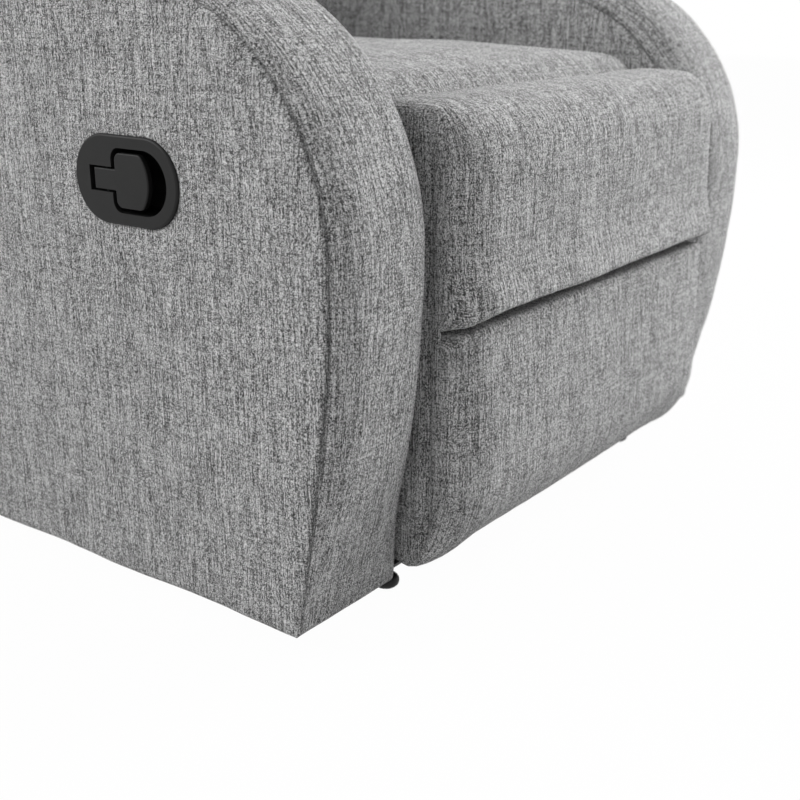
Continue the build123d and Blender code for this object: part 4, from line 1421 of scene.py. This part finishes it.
@dataclass
class Back(Upholstery):
    """Reclining back: a front cushion of three pillows and a padded rear cover, leaned about the hinge."""

    hinge: tuple[float, float] = (0.0, 0.0)
    tilt: float = np.radians(12.0)
    half: float = 0.252
    low: float = 0.072
    length: float = 0.632
    seams: tuple[float, float] = (0.277, 0.492)
    front: float = -0.112
    rear: float = -0.0026
    bow: float = 0.008
    bow_reach: float = 0.04
    low_round: float = 0.032
    top_round: float = 0.045
    rear_round: float = 8 * MM
    top_corner: float = 0.075
    corner_share: float = 0.92
    crease_end: float = 12 * MM
    crease_fade: float = 40 * MM
    crease_step: float = 2 * MM
    edging: Edging = Edging(14 * MM, 5 * MM, 46 * MM, 22 * MM)
    swelling: float = 8 * MM
    fill: float = 0.75
    uneven: Uneven = ((0.9 * MM, 0.14, 8),)
    cover_edging: Edging = Edging(12 * MM, 4 * MM, 16 * MM, 5 * MM)
    cover_gap: float = 0.3 * MM
    cover_rear: float = 0.054
    cover_low: float = 0.004
    cover_top: float = 0.662
    cover_rounds: tuple[float, ...] = (6 * MM, 6 * MM, 30 * MM, 14 * MM)
    cover_corner: float = 0.060
    cover_bow: float = 3 * MM
    cover_reach: float = 0.02
    shoulder: float = 0.046
    shoulder_fade: float = 0.012
    narrow: float = 0.020
    cover_fill: float = 0.5
    cover_uneven: Uneven = ((0.6 * MM, 0.18, 9),)

    def place(self) -> Matrix:
        """Leans the back's own frame, in which up is +Z and the hinge is the origin, onto the chair."""
        return Matrix.Translation((0, *self.hinge)) @ Matrix.Rotation(-self.tilt, 4, "X")

    def round_top(self, up: Array, top: float, corner: float) -> Array:
        """Half width at a height: full, then drawn in by a quarter ellipse at the top corners."""
        return self.half - rolled(top - up, corner, self.corner_share * corner)

    def loose_front(self, piece: Piece, face: float) -> Array:
        """How free each vertex is: the pillows' faces alone, held along the creases.

        Args:
            piece: The cushion's cover.
            face: Depth of its front in the back's own frame.

        Returns:
            A value from 0 to 1 for each vertex.
        """
        matrix = np.array(self.place().inverted())
        spots = read_points(piece) @ matrix[:3, :3].T + matrix[:3, 3]
        free = fading(spots[:, 1], face, self.low_round)
        for seam in self.seams:
            free = free * smooth(np.abs(spots[:, 2] - seam), self.held, self.loose)
        return free

    def build_cushion(self) -> None:
        """Makes the front cushion and dresses it."""
        top = self.low + self.length
        face = self.front + self.bow
        stations = np.array([self.low, *self.seams, top])
        creases = [Crease(seam, end=self.crease_end, fade=self.crease_fade, line_step=self.crease_step)
                   for seam in self.seams]
        outline = boxed(face, self.rear, self.low, top,
                        (self.low_round, self.top_round, self.rear_round, self.rear_round))

        def half(up: Array) -> Array:
            """Half width, rounded at the top."""
            return self.round_top(up, top, self.top_corner)

        def swell(points: Array, x: Array) -> Pair:
            """Three bowed pillows with sewn creases between them.

            Args:
                points: Outline points as rows of depth and height.
                x: Widths, with those points along the last axis.

            Returns:
                Rise and slide of each point.
            """
            depth, up = points.T
            which = np.clip(np.searchsorted(stations, up) - 1, 0, len(creases))
            share = (up - stations[which]) / (stations[which + 1] - stations[which])
            rise = self.bow * fading(depth, face, self.bow_reach) * pillow(share, x / self.half)
            slid = np.zeros(x.shape)
            front_only = depth < (self.front + self.rear) / 2
            for crease in creases:
                inward, slide = crease.move(up, self.half - np.abs(x))
                rise, slid = rise - inward * front_only, slid + slide * front_only
            return rise, slid

        slab = PaddedSlab(outline, half, self.edging, self.edging, swell, front_roll)
        slab.mark_front(np.concatenate([crease.marks() for crease in creases]), self.low + self.low_round)
        piece = slab.build("back_cushion_cloth", self.place(), False)
        self.stuff(piece, self.swelling, self.loose_front(piece, face))
        self.dress(piece, "back", "back_cushion", self.fill, self.uneven)

    def build_cover(self) -> None:
        """Makes the rear cover, narrowed below so that it clears the seat plates, and dresses it."""
        outline = boxed(self.rear + self.cover_gap, self.cover_rear, self.cover_low, self.cover_top,
                        self.cover_rounds)

        def half(up: Array) -> Array:
            """Half width: rounded at the top, drawn in below the shoulder."""
            below = smooth(-up, -self.shoulder, -(self.shoulder - self.shoulder_fade))
            return self.round_top(up, self.cover_top, self.cover_corner) - self.narrow * below

        def swell(points: Array, x: Array) -> Pair:
            """Soft bow on the rear face."""
            behind = smooth(points[:, 0], self.cover_rear - self.cover_reach, self.cover_rear)
            return self.cover_bow * behind * (1 - (x / self.half) ** 2), np.zeros(x.shape)

        slab = PaddedSlab(outline, half, self.cover_edging, self.cover_edging, swell, rear_roll)
        piece = slab.build("back_cover_cloth", self.place(), False)
        self.dress(piece, "back", "back_cover", self.cover_fill, self.cover_uneven)


@dataclass
class RearPanel(Upholstery):
    """Cloth-covered board across the rear of the base."""

    corner: float = 4 * MM
    edging: Edging = Edging(8 * MM, 3 * MM, 6 * MM, 3 * MM)
    fill: float = 0.3

    def build(self) -> None:
        """Makes the panel and dresses it."""
        low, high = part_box("rear_panel")
        outline = boxed(low.y, high.y, low.z, high.z, (self.corner,) * 4)
        slab = PaddedSlab(outline, even((high.x - low.x) / 2), self.edging, self.edging)
        piece = slab.build("rear_panel_cloth", Matrix.Identity(4), False)
        self.dress(piece, "base", "rear_panel", self.fill)


# Stage


@dataclass(frozen=True)
class Lamp:
    """Square soft box aimed at the chair."""

    name: str
    spot: Triple
    size: float
    power: float
    aim: Triple = (0.0, 0.0, 0.35)

    def build(self) -> None:
        """Makes the lamp."""
        data = bpy.data.lights.new(self.name, "AREA")
        data.shape, data.size, data.energy = "SQUARE", self.size, self.power
        lamp = bpy.data.objects.new(self.name, data)
        lamp.location = self.spot
        lamp.rotation_euler = (Vector(self.aim) - Vector(self.spot)).to_track_quat("-Z", "Y").to_euler()
        bpy.context.scene.collection.objects.link(lamp)


@dataclass(frozen=True)
class Studio:
    """Pale floor, soft light and the camera."""

    eye: Triple = (-1.0518, -0.9798, 0.5475)
    azimuth: float = -53.17
    elevation: float = 19.3
    lens: float = 52.92
    sensor: float = 36.0
    sharp: Triple = (-0.40, -0.20, 0.35)
    aperture: float = 8.0
    floor_half: float = 9.0
    floor_glow: float = 0.98
    paper: tuple[tuple[float, float], ...] = ((0.2, 0.57), (0.8, 0.59))
    paper_cloud: float = 3.0
    paper_roughness: float = 0.9
    paper_specular: float = 0.1
    sky: float = 0.58
    lamps: tuple[Lamp, ...] = (
        Lamp("front", spot=(2.7, -1.5, 1.7), size=1.2, power=114.0),
        Lamp("left", spot=(-2.9, 2.1, 2.7), size=2.1, power=104.0),
        Lamp("top", spot=(0.2, -0.6, 3.4), size=2.4, power=14.0),
    )

    def camera(self) -> None:
        """Puts the camera at the picture's viewing angle, with its focus on the near arm."""
        data = bpy.data.cameras.new("view")
        data.lens, data.sensor_width = self.lens, self.sensor
        focus = bpy.data.objects.new("focus", None)
        focus.location = self.sharp
        bpy.context.scene.collection.objects.link(focus)
        data.dof.use_dof, data.dof.focus_object, data.dof.aperture_fstop = True, focus, self.aperture
        camera = bpy.data.objects.new("view", data)
        bpy.context.scene.collection.objects.link(camera)
        a, e = np.radians(self.azimuth), np.radians(self.elevation)
        back = Vector((np.sin(a) * np.cos(e), -np.cos(a) * np.cos(e), np.sin(e)))
        camera.location = self.eye
        camera.rotation_euler = (-back).to_track_quat("-Z", "Y").to_euler()
        bpy.context.scene.camera = camera

    def floor(self) -> None:
        """Wide pale floor that is nearly white to the camera and takes the chair's shadow."""
        span = np.array([-self.floor_half, self.floor_half])
        x, y = np.meshgrid(span, span, indexing="ij")
        points = np.stack([x, y, np.zeros_like(x)], axis=2).reshape(-1, 3)
        floor = make_object("floor", points, quads(np.arange(4).reshape(2, 2), False))
        shader = Shader("floor_paper")
        tone = shader.ramp(shader.noise(shader.object_place(), self.paper_cloud), greys(*self.paper))
        floor.data.materials.append(shader.finish(tone, roughness=self.paper_roughness,
                                                  specular_ior_level=self.paper_specular))
        share = shader.math("MULTIPLY", shader.seen(), self.floor_glow)
        glow = shader.add("Emission", {"Strength": 1.0}).outputs[0]
        mixed = shader.add("MixShader", {0: share, 1: shader.principled.outputs[0], 2: glow}).outputs[0]
        shader.join(mixed, shader.nodes["Material Output"].inputs["Surface"])

    def world(self) -> None:
        """Even white surroundings, full white where the camera or a reflection sees them."""
        world = bpy.data.worlds.new("studio")
        world.use_nodes = True
        sky = Nodes(world.node_tree)
        backdrop = sky.nodes["Background"]
        backdrop.inputs["Color"].default_value = (1, 1, 1, 1)
        level = sky.add("MapRange", {"Value": sky.seen(), "To Min": self.sky}).outputs[0]
        sky.join(level, backdrop.inputs["Strength"])
        bpy.context.scene.world = world

    def build(self) -> None:
        """Sets up the whole stage."""
        self.camera()
        self.floor()
        self.world()
        for lamp in self.lamps:
            lamp.build()
        bpy.context.scene.view_settings.view_transform = "Standard"


def dress_solids(frame: dict, looks: dict[str, Material]) -> None:
    """Gives each solid the finish of its material slot.

    Args:
        frame: The loaded frame.
        looks: The materials by slot.
    """
    slots = {row["node"]: row["material_slot"] for row in frame["record"]["subparts"]}
    for name, node in frame["nodes"].items():
        node.data.materials.clear()
        node.data.materials.append(looks[slots[name]])


def main() -> None:
    """Builds the chair's looks piece by piece."""
    logging.basicConfig(level=logging.INFO, format="%(name)s: %(message)s")
    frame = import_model()
    looks = finishes()
    dress_solids(frame, looks)
    cloth = looks["grey_cloth"]
    for side in Side:
        Arm(cloth, side=side).build()
    Footrest(cloth).build()
    Seat(cloth).build()
    joints = {joint["name"]: joint["pos_m"] for joint in frame["joints"]}
    back = Back(cloth, hinge=tuple(joints["back_recline"][1:]))
    back.build_cushion()
    back.build_cover()
    RearPanel(cloth).build()
    Studio().build()


if __name__ == "__main__":
    main()
